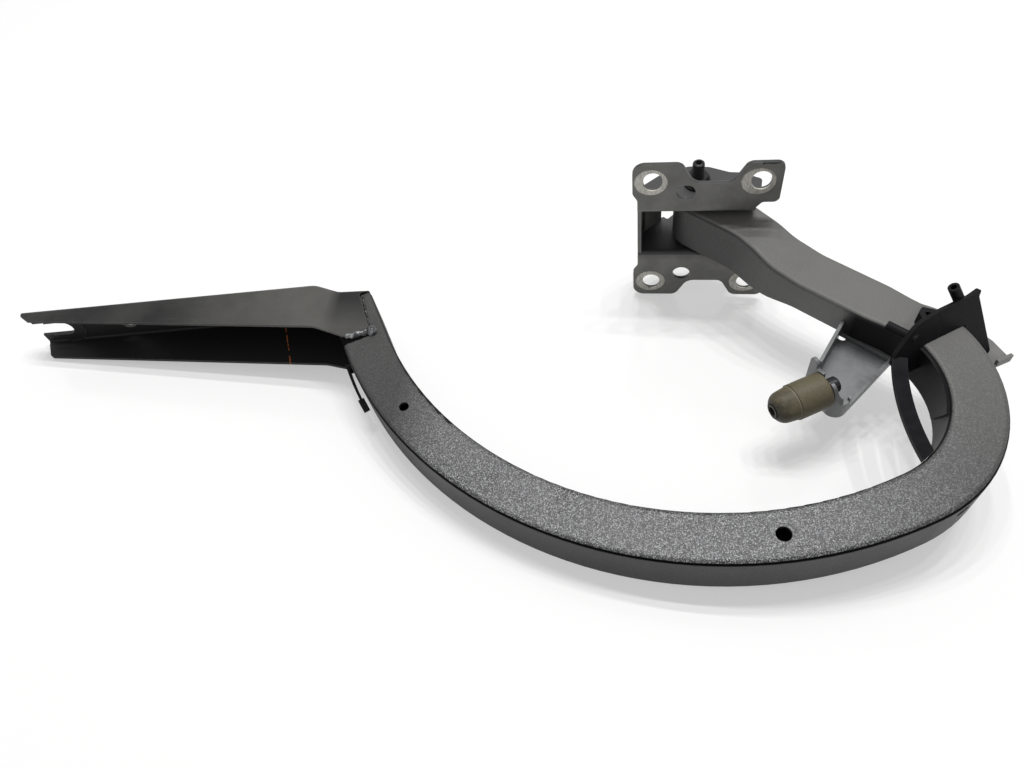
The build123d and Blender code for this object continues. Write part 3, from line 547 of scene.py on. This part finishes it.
def edge_group():
    """Mask of the convex edges, where paint is thin and light catches."""
    group, given, result = new_group(
        "Edge wear",
        [("Vector", "Vector", None), ("Radius", "Float", wear_radius), ("Breakup", "Float", wear_breakup)],
        [("Mask", "Float")],
    )
    rounded = add_node(group, "Bevel", {"Radius": given["Radius"]}, samples=bevel_samples).outputs[0]
    normal = add_node(group, "NewGeometry").outputs["Normal"]
    along = add_node(group, "VectorMath", {0: rounded, 1: normal}, operation="DOT_PRODUCT")
    strong = fade(group, opposite(group, along.outputs["Value"]), *wear_turn_spread)
    patches = fade(group, noise(group, given["Vector"], wear_scale, wear_detail), *wear_spread)
    broken = multiply(group, strong, patches)
    even = multiply(group, strong, opposite(group, given["Breakup"]))
    join(group, add_shares(group, even, (broken, given["Breakup"])), result["Mask"])
    return group


def dust_group():
    """Pale dust and rubbed patches, uneven over a few centimetres."""
    group, given, result = new_group(
        "Dust",
        [("Vector", "Vector", None), ("Scale", "Float", dust_scale), ("Amount", "Float", dust_amount)],
        [("Mask", "Float"), ("Streaks", "Float")],
    )
    clouds = noise(group, given["Vector"], given["Scale"], dust_detail, dust_raggedness)
    turned = turned_place(group, given["Vector"], streak_turn, streak_stretch)
    lines = noise(group, turned, streak_scale, streak_detail)
    join(group, multiply(group, fade(group, clouds, *dust_spread), given["Amount"]), result["Mask"])
    join(group, multiply(group, fade(group, lines, *streak_spread), given["Amount"]), result["Streaks"])
    return group


def ring_group():
    """Round mark of a washer on a flange face, with a worn outline."""
    group, given, result = new_group(
        "Washer mark",
        [("Vector", "Vector", None), ("Centre X", "Float", 0.0), ("Centre Z", "Float", 0.0),
         ("Radius", "Float", washer_radius)],
        [("Mask", "Float")],
    )
    parts = split(group, given["Vector"])
    across = calculate(group, "SUBTRACT", parts["X"], given["Centre X"])
    upward = calculate(group, "SUBTRACT", parts["Z"], given["Centre Z"])
    square = add_shares(group, multiply(group, across, across), (upward, upward))
    distance = calculate(group, "SQRT", square)
    uneven = noise(group, given["Vector"], rim_scale, rim_detail)
    waver = add_shares(group, -rim_waver / 2, (uneven, rim_waver))
    from_rim = calculate(group, "SUBTRACT", calculate(group, "ADD", distance, waver), given["Radius"])
    join(group, fade(group, from_rim, *rim_spread), result["Mask"])
    return group


orange_peel = sparkle_group()
rolled_edge_reflection = rolled_edge_reflection_group()
edge_wear = edge_group()
dust = dust_group()
washer_mark = ring_group()


def use_group(tree, group, values):
    """Outputs of a shared effect that is placed in a material."""
    node = tree.nodes.new("ShaderNodeGroup")
    node.node_tree = group
    for key, value in values.items():
        join(tree, value, node.inputs[key])
    return node.outputs


def new_material(name, metallic=0.0, specular=0.5):
    """Material with a Principled shader; returns the material, its tree and its shader."""
    material = bpy.data.materials.new(name)
    material.use_nodes = True
    tree = material.node_tree
    shader = tree.nodes["Principled BSDF"]
    shader.inputs["Metallic"].default_value = metallic
    shader.inputs["Specular IOR Level"].default_value = specular
    return material, tree, shader


def own_place(tree):
    """Place on the part, in the part's frame."""
    return add_node(tree, "TexCoord").outputs["Object"]


def own_normal(tree):
    """The surface's normal, in the part's frame."""
    return add_node(tree, "TexCoord").outputs["Normal"]


def flat_mask(tree, normal, axis):
    """Mask of the faces that are square to an axis of the part."""
    return fade(tree, calculate(tree, "ABSOLUTE", split(tree, normal)[axis]), *flat_spread)


def bevel_and_bump(tree, shader, height, distance, strength, radius=rounding):
    """Softly rounded edges under the coat's bumps."""
    soft = add_node(tree, "Bevel", {"Radius": radius}, samples=bevel_samples).outputs[0]
    values = {"Strength": strength, "Distance": distance, "Height": height, "Normal": soft}
    join(tree, add_node(tree, "Bump", values).outputs[0], shader.inputs["Normal"])


def paint(tree, shader, colour, roughness):
    """Gives the shader its colour and roughness."""
    join(tree, colour, shader.inputs["Base Color"])
    join(tree, roughness, shader.inputs["Roughness"])


# Finishes of the pieces

def crevice_shadow_mask(tree, place):
    """Wedge of painted shadow on the neck's top beside the bead."""
    run = crevice_end - crevice_start
    forward = run.normalized()
    sideways = Vector((-forward.y, forward.x, 0.0))
    offset = offset_from(tree, place, crevice_start)
    along = distance_along(tree, offset, forward)
    aside = calculate(tree, "ABSOLUTE", distance_along(tree, offset, sideways))
    uneven = noise(tree, place, crevice_scale, crevice_detail)
    aside = add_shares(tree, aside, (uneven, crevice_waver))
    half = fade(tree, along, 0.0, run.length, crevice_half, crevice_half_at_end)
    inside = calculate(tree, "LESS_THAN", aside, half)
    before = calculate(tree, "LESS_THAN", along, run.length)
    return multiply(tree, inside, before)


def shaded_inner_wall(tree, parts, normal, flat):
    """Mask of the neck's inner wall from the stop bracket round the sharp bend, where shade is painted."""
    past = fade(tree, parts["X"], inner_shade_from_x, inner_shade_full_x)
    inward = fade(tree, split(tree, normal)["X"], *inner_shade_facing_spread)
    return multiply(tree, past, inward, opposite(tree, flat))


def neck_colour(tree, parts, flat, bend):
    """Plain colour of the neck: satin arm whose walls have painted shade by the pivot, black long bend."""
    # Painted shade on the arm's walls by the pivot, gone towards the stop bracket
    pale = fade(tree, parts["X"], wall_shade_to_x, wall_unshaded_from_x)
    arm_wall = blend_colours(tree, pale, arm_wall_painted_shade_by_pivot, arm_wall_by_stop)
    arm = blend_colours(tree, flat, arm_wall, arm_satin)
    return blend_colours(tree, bend, arm, blend_colours(tree, flat, coat_wall, coat_black))


def neck_coat():
    """Black dip coat: coarse and sparkling with painted glints on top of the long bend, dusty satin on the
    arm, and painted shade in places.
    """
    material, tree, shader = new_material("Neck coat", specular=neck_specular)
    place = own_place(tree)
    parts = split(tree, place)
    normal = own_normal(tree)
    flat = flat_mask(tree, normal, "Z")
    bend = fade(tree, parts["Y"], satin_from_y, coarse_from_y)
    tail = fade(tree, parts["X"], tail_from_x, tail_full_x)
    calm = fade(tree, parts["X"], calm_from_x, calm_full_x, 1.0, calm_sparkle)
    lively = add_shares(tree, 1.0, (tail, tail_sparkle_loss))
    coarse = multiply(tree, bend, flat, lively, calm)
    peel = use_group(tree, orange_peel, {"Vector": place, "Scale": neck_peel_scale,
                                         "Coarse": at_least(tree, coarse, peel_left_on_satin)})
    grime = use_group(tree, dust, {"Vector": place, **neck_dust})
    worn = use_group(tree, edge_wear, {"Vector": place, **neck_wear})
    edge_reflection_amount = at_least(tree, bend, edge_reflection_left_on_arm)
    edges = use_group(tree, rolled_edge_reflection, {"Normal": normal, "Amount": edge_reflection_amount})["Mask"]
    inner_shade = shaded_inner_wall(tree, parts, normal, flat)
    crevice_shadow = crevice_shadow_mask(tree, place)
    lying_dust = multiply(tree, grime["Mask"], at_least(tree, flat, dust_left_on_walls))
    base = neck_colour(tree, parts, flat, bend)
    base = tint(tree, base, coat_dusty, lying_dust)
    # Painted shade on the tail, where less lamp light is mirrored
    base = tint(tree, base, coat_wall, tail, tail_painted_shade)
    # Pale crowns and glints of the peel are painted highlights of the lamps
    base = tint(tree, base, coat_crown_highlight, peel["Crown"], crown_highlight_share)
    base = tint(tree, base, coat_painted_glint, peel["Painted glint"], painted_glint_share)
    base = tint(tree, base, coat_dusty, worn["Mask"], neck_wear_share)
    # Painted dark reflection along the rolled edges
    base = tint(tree, base, shade_reflection_and_chip_black, edges)
    # Painted shade on the inner wall from the stop bracket round the sharp bend
    base = tint(tree, base, inner_wall_painted_shade, inner_shade)
    # Painted shadow beside the weld bead
    base = tint(tree, base, shade_reflection_and_chip_black, crevice_shadow)
    roughness = add_shares(tree, neck_roughness, (coarse, coarse_roughness),
                           (peel["Crown"], crown_roughness), (grime["Mask"], dust_roughness),
                           (tail, tail_roughness), (edges, edge_roughness))
    paint(tree, shader, base, roughness)
    # A black metal has no sheen of its own, so this takes the sheen off the painted dark edges, the
    # painted shade on the inner wall and the painted shadow by the weld
    sheenless = highest(tree, edges, multiply(tree, inner_shade, inner_shade_dullness), crevice_shadow)
    join(tree, sheenless, shader.inputs["Metallic"])
    bevel_and_bump(tree, shader, peel["Height"], **neck_bump)
    return material


def chipped_patch(tree, place, parts):
    """Mask of a chipped patch with a ragged outline, along the right ear's top edge."""
    past_left = calculate(tree, "GREATER_THAN", parts["X"], chip_from_x)
    before_right = calculate(tree, "LESS_THAN", parts["X"], chip_to_x)
    raised = add_shares(tree, parts["Z"], (noise(tree, place, chip_scale, chip_detail), chip_waver))
    high = calculate(tree, "GREATER_THAN", raised, chip_from_z + chip_waver / 2)
    return multiply(tree, past_left, before_right, high)


def bare_rings(tree, place, parts):
    """Mask of the washer marks on the flanges' front faces."""
    marks = []
    for centre_x, centre_z in ring_centres:
        values = {"Vector": place, "Centre X": centre_x, "Centre Z": centre_z}
        marks.append(use_group(tree, washer_mark, values)["Mask"])
    on_face = calculate(tree, "LESS_THAN", parts["Y"], flange_front + flange_skin)
    return multiply(tree, highest(tree, *marks), on_face)


def bracket_coat():
    """Satin coat of the body bracket, rubbed bare under the washers, with painted shade inside."""
    material, tree, shader = new_material("Bracket coat", specular=bracket_specular)
    place = own_place(tree)
    parts = split(tree, place)
    flat = flat_mask(tree, own_normal(tree), "Y")
    peel = use_group(tree, orange_peel, {"Vector": place, **bracket_peel})
    grime = use_group(tree, dust, {"Vector": place, **bracket_dust})
    worn = use_group(tree, edge_wear, {"Vector": place, **bracket_wear})
    bare = bare_rings(tree, place, parts)
    brushed = noise(tree, turned_place(tree, place, brush_turn, brush_stretch), brush_scale, brush_detail)
    zinc = ramp(tree, brushed, [(dull_zinc_stop, dull_zinc), (bare_zinc_stop, bare_zinc)])
    # Faces not square to Y, inside and on the plates, get painted shade
    base = blend_colours(tree, flat, bracket_painted_shade, flange_satin)
    base = tint(tree, base, worn_light, multiply(tree, grime["Mask"], flat))
    base = tint(tree, base, worn_light, worn["Mask"], bracket_wear_share)
    base = tint(tree, base, zinc, bare)
    base = tint(tree, base, shade_reflection_and_chip_black, chipped_patch(tree, place, parts))
    roughness = add_shares(tree, bracket_roughness, (peel["Grain"], bracket_grain_roughness),
                           (bare, zinc_roughness))
    paint(tree, shader, base, roughness)
    join(tree, multiply(tree, bare, zinc_metal), shader.inputs["Metallic"])
    bevel_and_bump(tree, shader, peel["Height"], **bracket_bump)
    return material


def scratch_mask(tree, place, parts):
    """Thin broken line that leans over the channel's inside, on faces that look forward and up."""
    waver = noise(tree, place, scratch_waver_scale, scratch_waver_detail)
    leaning = add_shares(tree, parts["X"], (waver, scratch_waver), (parts["Y"], scratch_lean))
    middle = scratch_place.x + scratch_lean * scratch_place.y
    from_line = calculate(tree, "ABSOLUTE", calculate(tree, "SUBTRACT", leaning, middle))
    line = fade(tree, from_line, scratch_width, scratch_core)
    gaps = noise(tree, place, scratch_gap_scale, scratch_gap_detail)
    kept = fade(tree, gaps, *scratch_gap_spread)
    low = calculate(tree, "LESS_THAN", parts["Z"], scratch_top)
    facing = split(tree, own_normal(tree))
    forward = calculate(tree, "LESS_THAN", facing["Y"], scratch_facing)
    upward = calculate(tree, "GREATER_THAN", facing["Z"], -scratch_facing)
    return multiply(tree, line, low, forward, upward, kept)


def channel_coat():
    """Black coat of the lid channel, dusty in patches, with a thin bare scratch inside."""
    material, tree, shader = new_material("Channel coat", specular=channel_specular)
    place = own_place(tree)
    parts = split(tree, place)
    peel = use_group(tree, orange_peel, {"Vector": place, **channel_peel})
    grime = use_group(tree, dust, {"Vector": place, **channel_dust})
    worn = use_group(tree, edge_wear, {"Vector": place, **channel_wear})
    outside = calculate(tree, "GREATER_THAN", parts["Z"], channel_outside_z)
    # Paler towards the heel, on top of the dust patches
    dusty = fade(tree, parts["X"], paler_from_x, paler_full_x, 0.0, paler_share)
    dusty = calculate(tree, "ADD", dusty, grime["Mask"])
    heel = fade(tree, parts["X"], heel_from_x, heel_full_x)
    back = fade(tree, parts["Y"], heel_front_y, heel_back_y, heel_front_share, 1.0)
    base = blend_colours(tree, multiply(tree, dusty, outside), channel_black, channel_dusty)
    # Painted shade at the back of the heel
    base = tint(tree, base, channel_heel_painted_shade, multiply(tree, heel, back))
    base = tint(tree, base, channel_dusty, multiply(tree, grime["Streaks"], channel_streak_share, outside))
    base = tint(tree, base, worn_light, worn["Mask"], channel_wear_share)
    base = tint(tree, base, copper_scratch, scratch_mask(tree, place, parts))
    roughness = add_shares(tree, channel_roughness, (peel["Grain"], channel_grain_roughness),
                           (grime["Mask"], channel_dust_roughness))
    paint(tree, shader, base, roughness)
    bevel_and_bump(tree, shader, peel["Height"], **channel_bump)
    return material


def stop_bracket_coat():
    """Pale grey coat of the bump stop's bracket, smudged."""
    material, tree, shader = new_material("Stop bracket coat", specular=stop_bracket_specular)
    place = own_place(tree)
    peel = use_group(tree, orange_peel, {"Vector": place, **stop_bracket_peel})
    grime = use_group(tree, dust, {"Vector": place, **stop_bracket_dust})
    worn = use_group(tree, edge_wear, {"Vector": place, **stop_bracket_wear})
    base = blend_colours(tree, grime["Mask"], stop_bracket_grey, stop_bracket_smudge)
    base = tint(tree, base, worn_light, worn["Mask"], stop_bracket_wear_share)
    roughness = add_shares(tree, stop_bracket_roughness, (peel["Grain"], stop_bracket_grain_roughness))
    paint(tree, shader, base, roughness)
    bevel_and_bump(tree, shader, peel["Height"], **stop_bracket_bump)
    return material


def brighter(colour, gain):
    """A colour with its parts made stronger."""
    return tuple(gain * part for part in colour)


def fastener_coat(name, colour, roughness, pitch=None):
    """Coated steel with rubbed edges, with a thread of the given pitch round upright faces."""
    material, tree, shader = new_material(name, metallic=fastener_metal)
    place = own_place(tree)
    grime = use_group(tree, dust, {"Vector": place, **fastener_dust})["Mask"]
    worn = use_group(tree, edge_wear, {"Vector": place, **fastener_wear})["Mask"]
    base = blend_colours(tree, grime, colour, brighter(colour, fastener_dusty_gain))
    base = tint(tree, base, brighter(colour, fastener_worn_gain), worn)
    paint(tree, shader, base, add_shares(tree, roughness, (grime, fastener_dust_roughness)))
    if pitch is None:
        bevel_and_bump(tree, shader, grime, **fastener_bump)
        return material
    upright = opposite(tree, flat_mask(tree, own_normal(tree), "Z"))
    turns = calculate(tree, "SINE", multiply(tree, split(tree, place)["Z"], 2 * pi / pitch))
    bevel_and_bump(tree, shader, multiply(tree, turns, upright), **thread_bump)
    return material


def moulded_black():
    """Black moulded plastic, finely grained, scuffed on its edges; the strap is duller."""
    material, tree, shader = new_material("Moulded black", specular=plastic_specular)
    place = own_place(tree)
    grain = noise(tree, place, plastic_grain_scale, plastic_grain_detail)
    grime = use_group(tree, dust, {"Vector": place, **plastic_dust})
    worn = use_group(tree, edge_wear, {"Vector": place, **plastic_wear})
    base = blend_colours(tree, grime["Mask"], plastic_black, plastic_scuffed)
    base = tint(tree, base, plastic_rubbed, worn["Mask"], plastic_wear_share)
    paint(tree, shader, base, add_shares(tree, plastic_roughness, (grain, plastic_grain_roughness)))
    # As on the neck, a metal as black as this takes the sheen off
    strap = fade(tree, split(tree, place)["Y"], strap_from_y, strap_full_y, 0.0, strap_dullness)
    join(tree, strap, shader.inputs["Metallic"])
    bevel_and_bump(tree, shader, grain, **plastic_bump)
    return material


def rubber_soot_mask(tree, place, along):
    """Blotches of soot that grow towards the nose."""
    blotches = noise(tree, place, soot_scale, soot_detail, soot_raggedness)
    lift = fade(tree, along, rubber_clean_length, rubber_length, soot_at_root, soot_at_nose)
    return fade(tree, calculate(tree, "ADD", blotches, lift), *soot_spread, 0.0, soot_share)


def sooty_rubber():
    """Olive rubber, blackened in blotches towards its nose, with a fine mould ring."""
    material, tree, shader = new_material("Sooty rubber", specular=rubber_specular)
    place = own_place(tree)
    heading = Vector((cos(stop_heading), sin(stop_heading), 0.0))
    along = distance_along(tree, offset_from(tree, place, stop_root), heading)
    grain = noise(tree, place, rubber_grain_scale, rubber_grain_detail)
    base = ramp(tree, grain, [(rubber_shade_stop, rubber_shade), (rubber_olive_stop, rubber_olive)])
    base = tint(tree, base, rubber_soot, rubber_soot_mask(tree, place, along))
    from_ring = calculate(tree, "ABSOLUTE", calculate(tree, "SUBTRACT", along, mould_ring_from_root))
    ring = fade(tree, from_ring, *mould_ring_spread, 0.0, mould_ring_share)
    base = tint(tree, base, mould_ring, ring)
    paint(tree, shader, base, add_shares(tree, rubber_roughness, (grain, rubber_grain_roughness)))
    bevel_and_bump(tree, shader, grain, **rubber_bump)
    return material


def pale_tab():
    """Light grey steel of the spring tab."""
    material, tree, shader = new_material("Pale tab", specular=tab_specular)
    place = own_place(tree)
    grime = use_group(tree, dust, {"Vector": place, **tab_dust})["Mask"]
    worn = use_group(tree, edge_wear, {"Vector": place, **tab_wear})["Mask"]
    base = blend_colours(tree, grime, tab_grey, tab_smudge)
    paint(tree, shader, tint(tree, base, tab_rubbed, worn, tab_wear_share), tab_roughness)
    bevel_and_bump(tree, shader, grime, **tab_bump)
    return material


def coated_weld(name, grey, bright):
    """Rippled weld metal, dark in its hollows and bright on its crests."""
    material, tree, shader = new_material(name, metallic=weld_metal, specular=weld_specular)
    place = own_place(tree)
    ripple = add_node(tree, "TexWave", {"Vector": place, **weld_ripple}).outputs["Fac"]
    lumps = noise(tree, place, weld_lump_scale, weld_lump_detail)
    stops = [(weld_soot_stop, weld_soot), (weld_grey_stop, grey), (weld_bright_stop, bright)]
    paint(tree, shader, ramp(tree, lumps, stops), weld_roughness)
    bevel_and_bump(tree, shader, calculate(tree, "ADD", ripple, lumps), **weld_bump)
    return material


def dress(names, material):
    """Gives CAD nodes a finish."""
    for name in names:
        slots = nodes[name].data.materials
        slots.clear()
        slots.append(material)


# Weld pieces

def melted_bead(name, drops):
    """Weld metal: overlapping drops melted into one piece that stands on the neck's flat top."""
    bpy.ops.object.select_all(action="DESELECT")
    pieces = []
    for place, radius in drops:
        bpy.ops.mesh.primitive_ico_sphere_add(subdivisions=drop_subdivisions, radius=radius,
                                              location=place)
        pieces.append(bpy.context.object)
    for piece in pieces:
        piece.select_set(True)
    bpy.ops.object.join()
    bead = bpy.context.object
    bead.name = name
    bpy.ops.object.transform_apply(location=True, rotation=True, scale=True)
    melt = bead.modifiers.new("Melt", "REMESH")
    melt.mode = "VOXEL"
    melt.voxel_size = weld_voxel
    bpy.ops.object.modifier_apply(modifier=melt.name)
    bpy.ops.object.mode_set(mode="EDIT")
    bpy.ops.mesh.select_all(action="SELECT")
    bpy.ops.mesh.bisect(plane_co=(0.0, 0.0, neck_top), plane_no=(0.0, 0.0, 1.0), use_fill=True,
                        clear_inner=True)
    bpy.ops.object.mode_set(mode="OBJECT")
    settle = bead.modifiers.new("Settle", "SMOOTH")
    settle.factor = weld_smoothing
    settle.iterations = weld_smoothing_rounds
    bpy.ops.object.modifier_apply(modifier=settle.name)
    bpy.ops.object.shade_smooth_by_angle(angle=weld_crease)
    return bead


def drops_along(start, end, count, radius, unevenness):
    """Overlapping drops of uneven size between two places."""
    drops = []
    for step in range(count):
        size = radius * (1 + unevenness * sin(drop_rhythm * step))
        drops.append((start.lerp(end, step / (count - 1)), size))
    return drops


def weld_pieces():
    """Rippled bead with its end blob, and the thin seam up the channel's heel."""
    bead = drops_along(bead_start, bead_end, bead_drops, bead_radius, bead_unevenness)
    yield melted_bead("rippled_weld", bead + [(bead_end, blob_radius)])
    seam = drops_along(seam_start, seam_end, seam_drops, seam_radius, seam_unevenness)
    yield melted_bead("heel_seam", seam)


dress(["neck_upper_shell", "neck_lower_shell", "pivot_tube"], neck_coat())
dress(["body_bracket"], bracket_coat())
dress(["lid_channel"], channel_coat())
dress(["bump_bracket"], stop_bracket_coat())
dress(["pivot_nut", "upper_washer", "lower_washer", "bump_stud"],
      fastener_coat("Black fastener", fastener_black, fastener_roughness))
dress(["pivot_bolt"], fastener_coat("Threaded bolt", fastener_black, fastener_roughness, pitch=bolt_pitch))
dress(["spacer_sleeve"], fastener_coat("Bright sleeve", sleeve_steel, sleeve_roughness))
dress(["guide_inner_half", "guide_outer_half", "tie_clip", "upper_bush", "lower_bush"], moulded_black())
dress(["bump_stop"], sooty_rubber())
dress(["spring_tab"], pale_tab())
bright_weld = coated_weld("Bright weld", weld_grey, weld_bright)
sooty_weld = coated_weld("Sooty weld", weld_soot, weld_grey)
dress(["lid_weld"], bright_weld)
rippled_weld, heel_seam = weld_pieces()
for piece, finish in ((rippled_weld, bright_weld), (heel_seam, sooty_weld)):
    piece.data.materials.append(finish)
    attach(piece, "arm")
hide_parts("lid_weld")


# Stage

def looking_ray(tree):
    """1 for rays that look at the stage, straight or mirrored, and 0 for rays that light the part."""
    path = add_node(tree, "LightPath").outputs
    return highest(tree, path["Is Camera Ray"], path["Is Glossy Ray"], path["Is Transmission Ray"])


def glossy_floor():
    """White laminate that mirrors the part faintly; what looks at it sees its shadows lightened."""
    material, tree, shader = new_material("Glossy floor")
    paint(tree, shader, floor_white, floor_roughness)
    glow = add_node(tree, "Emission", {"Strength": 1.0})
    values = {0: multiply(tree, looking_ray(tree), floor_glow), 1: shader.outputs[0], 2: glow.outputs[0]}
    lightened = add_node(tree, "MixShader", values)
    join(tree, lightened.outputs[0], tree.nodes["Material Output"].inputs["Surface"])
    return material


def lay_floor():
    """Flat floor through the three points that the hinge stands on."""
    across = tip_contact - flange_contact
    forward = bend_contact - flange_contact
    up = across.cross(forward).normalized()
    if up.z < 0:
        up = -up
    bpy.ops.mesh.primitive_plane_add(size=floor_size)
    floor = bpy.context.object
    floor.name = "floor"
    turn = up.to_track_quat("Z", "Y").to_matrix().to_4x4()
    floor.data.transform(Matrix.Translation(flange_contact - up * floor_gap) @ turn)
    floor.data.materials.append(glossy_floor())


def add_lamp(name, place):
    """Small square lamp that looks straight down; brightness 1 is the white of paper."""
    data = bpy.data.lights.new(name, "AREA")
    data.shape = "SQUARE"
    data.size = lamp_size
    data.energy = lamp_brightness * pi * lamp_size ** 2
    lamp = bpy.data.objects.new(name, data)
    bpy.context.scene.collection.objects.link(lamp)
    lamp.location = place


def light_studio():
    """Even room, and rows of small lamps that the long bend mirrors to the camera."""
    world = bpy.data.worlds.new("Studio")
    bpy.context.scene.world = world
    world.use_nodes = True
    tree = world.node_tree
    room = tree.nodes["Background"].inputs
    join(tree, world_white, room["Color"])
    join(tree, at_least(tree, looking_ray(tree), world_brightness), room["Strength"])
    mirrored = glare_place - camera_place
    mirrored.z = -mirrored.z
    middle = glare_place + mirrored * (lamp_height / mirrored.z)
    for column in range(lamp_columns):
        for row in range(lamp_rows):
            across = (column - (lamp_columns - 1) / 2) * lamp_spacing[0]
            away = (row - (lamp_rows - 1) / 2) * lamp_spacing[1]
            add_lamp(f"Lamp {column} {row}", middle + Vector((across, away, 0.0)))


def place_camera():
    """Camera at the photograph's angle."""
    data = bpy.data.cameras.new("Camera")
    data.sensor_width = sensor_width
    data.lens = focal_in_pixels / photo_width * sensor_width
    data.clip_start = camera_near
    data.clip_end = camera_far
    camera = bpy.data.objects.new("Camera", data)
    bpy.context.scene.collection.objects.link(camera)
    back = camera_right.cross(camera_up).normalized()
    turn = Matrix((camera_right, camera_up, back)).transposed().to_4x4()
    camera.matrix_world = Matrix.Translation(camera_place) @ turn
    bpy.context.scene.camera = camera


lay_floor()
light_studio()
place_camera()
bpy.context.scene.view_settings.view_transform = "Standard"
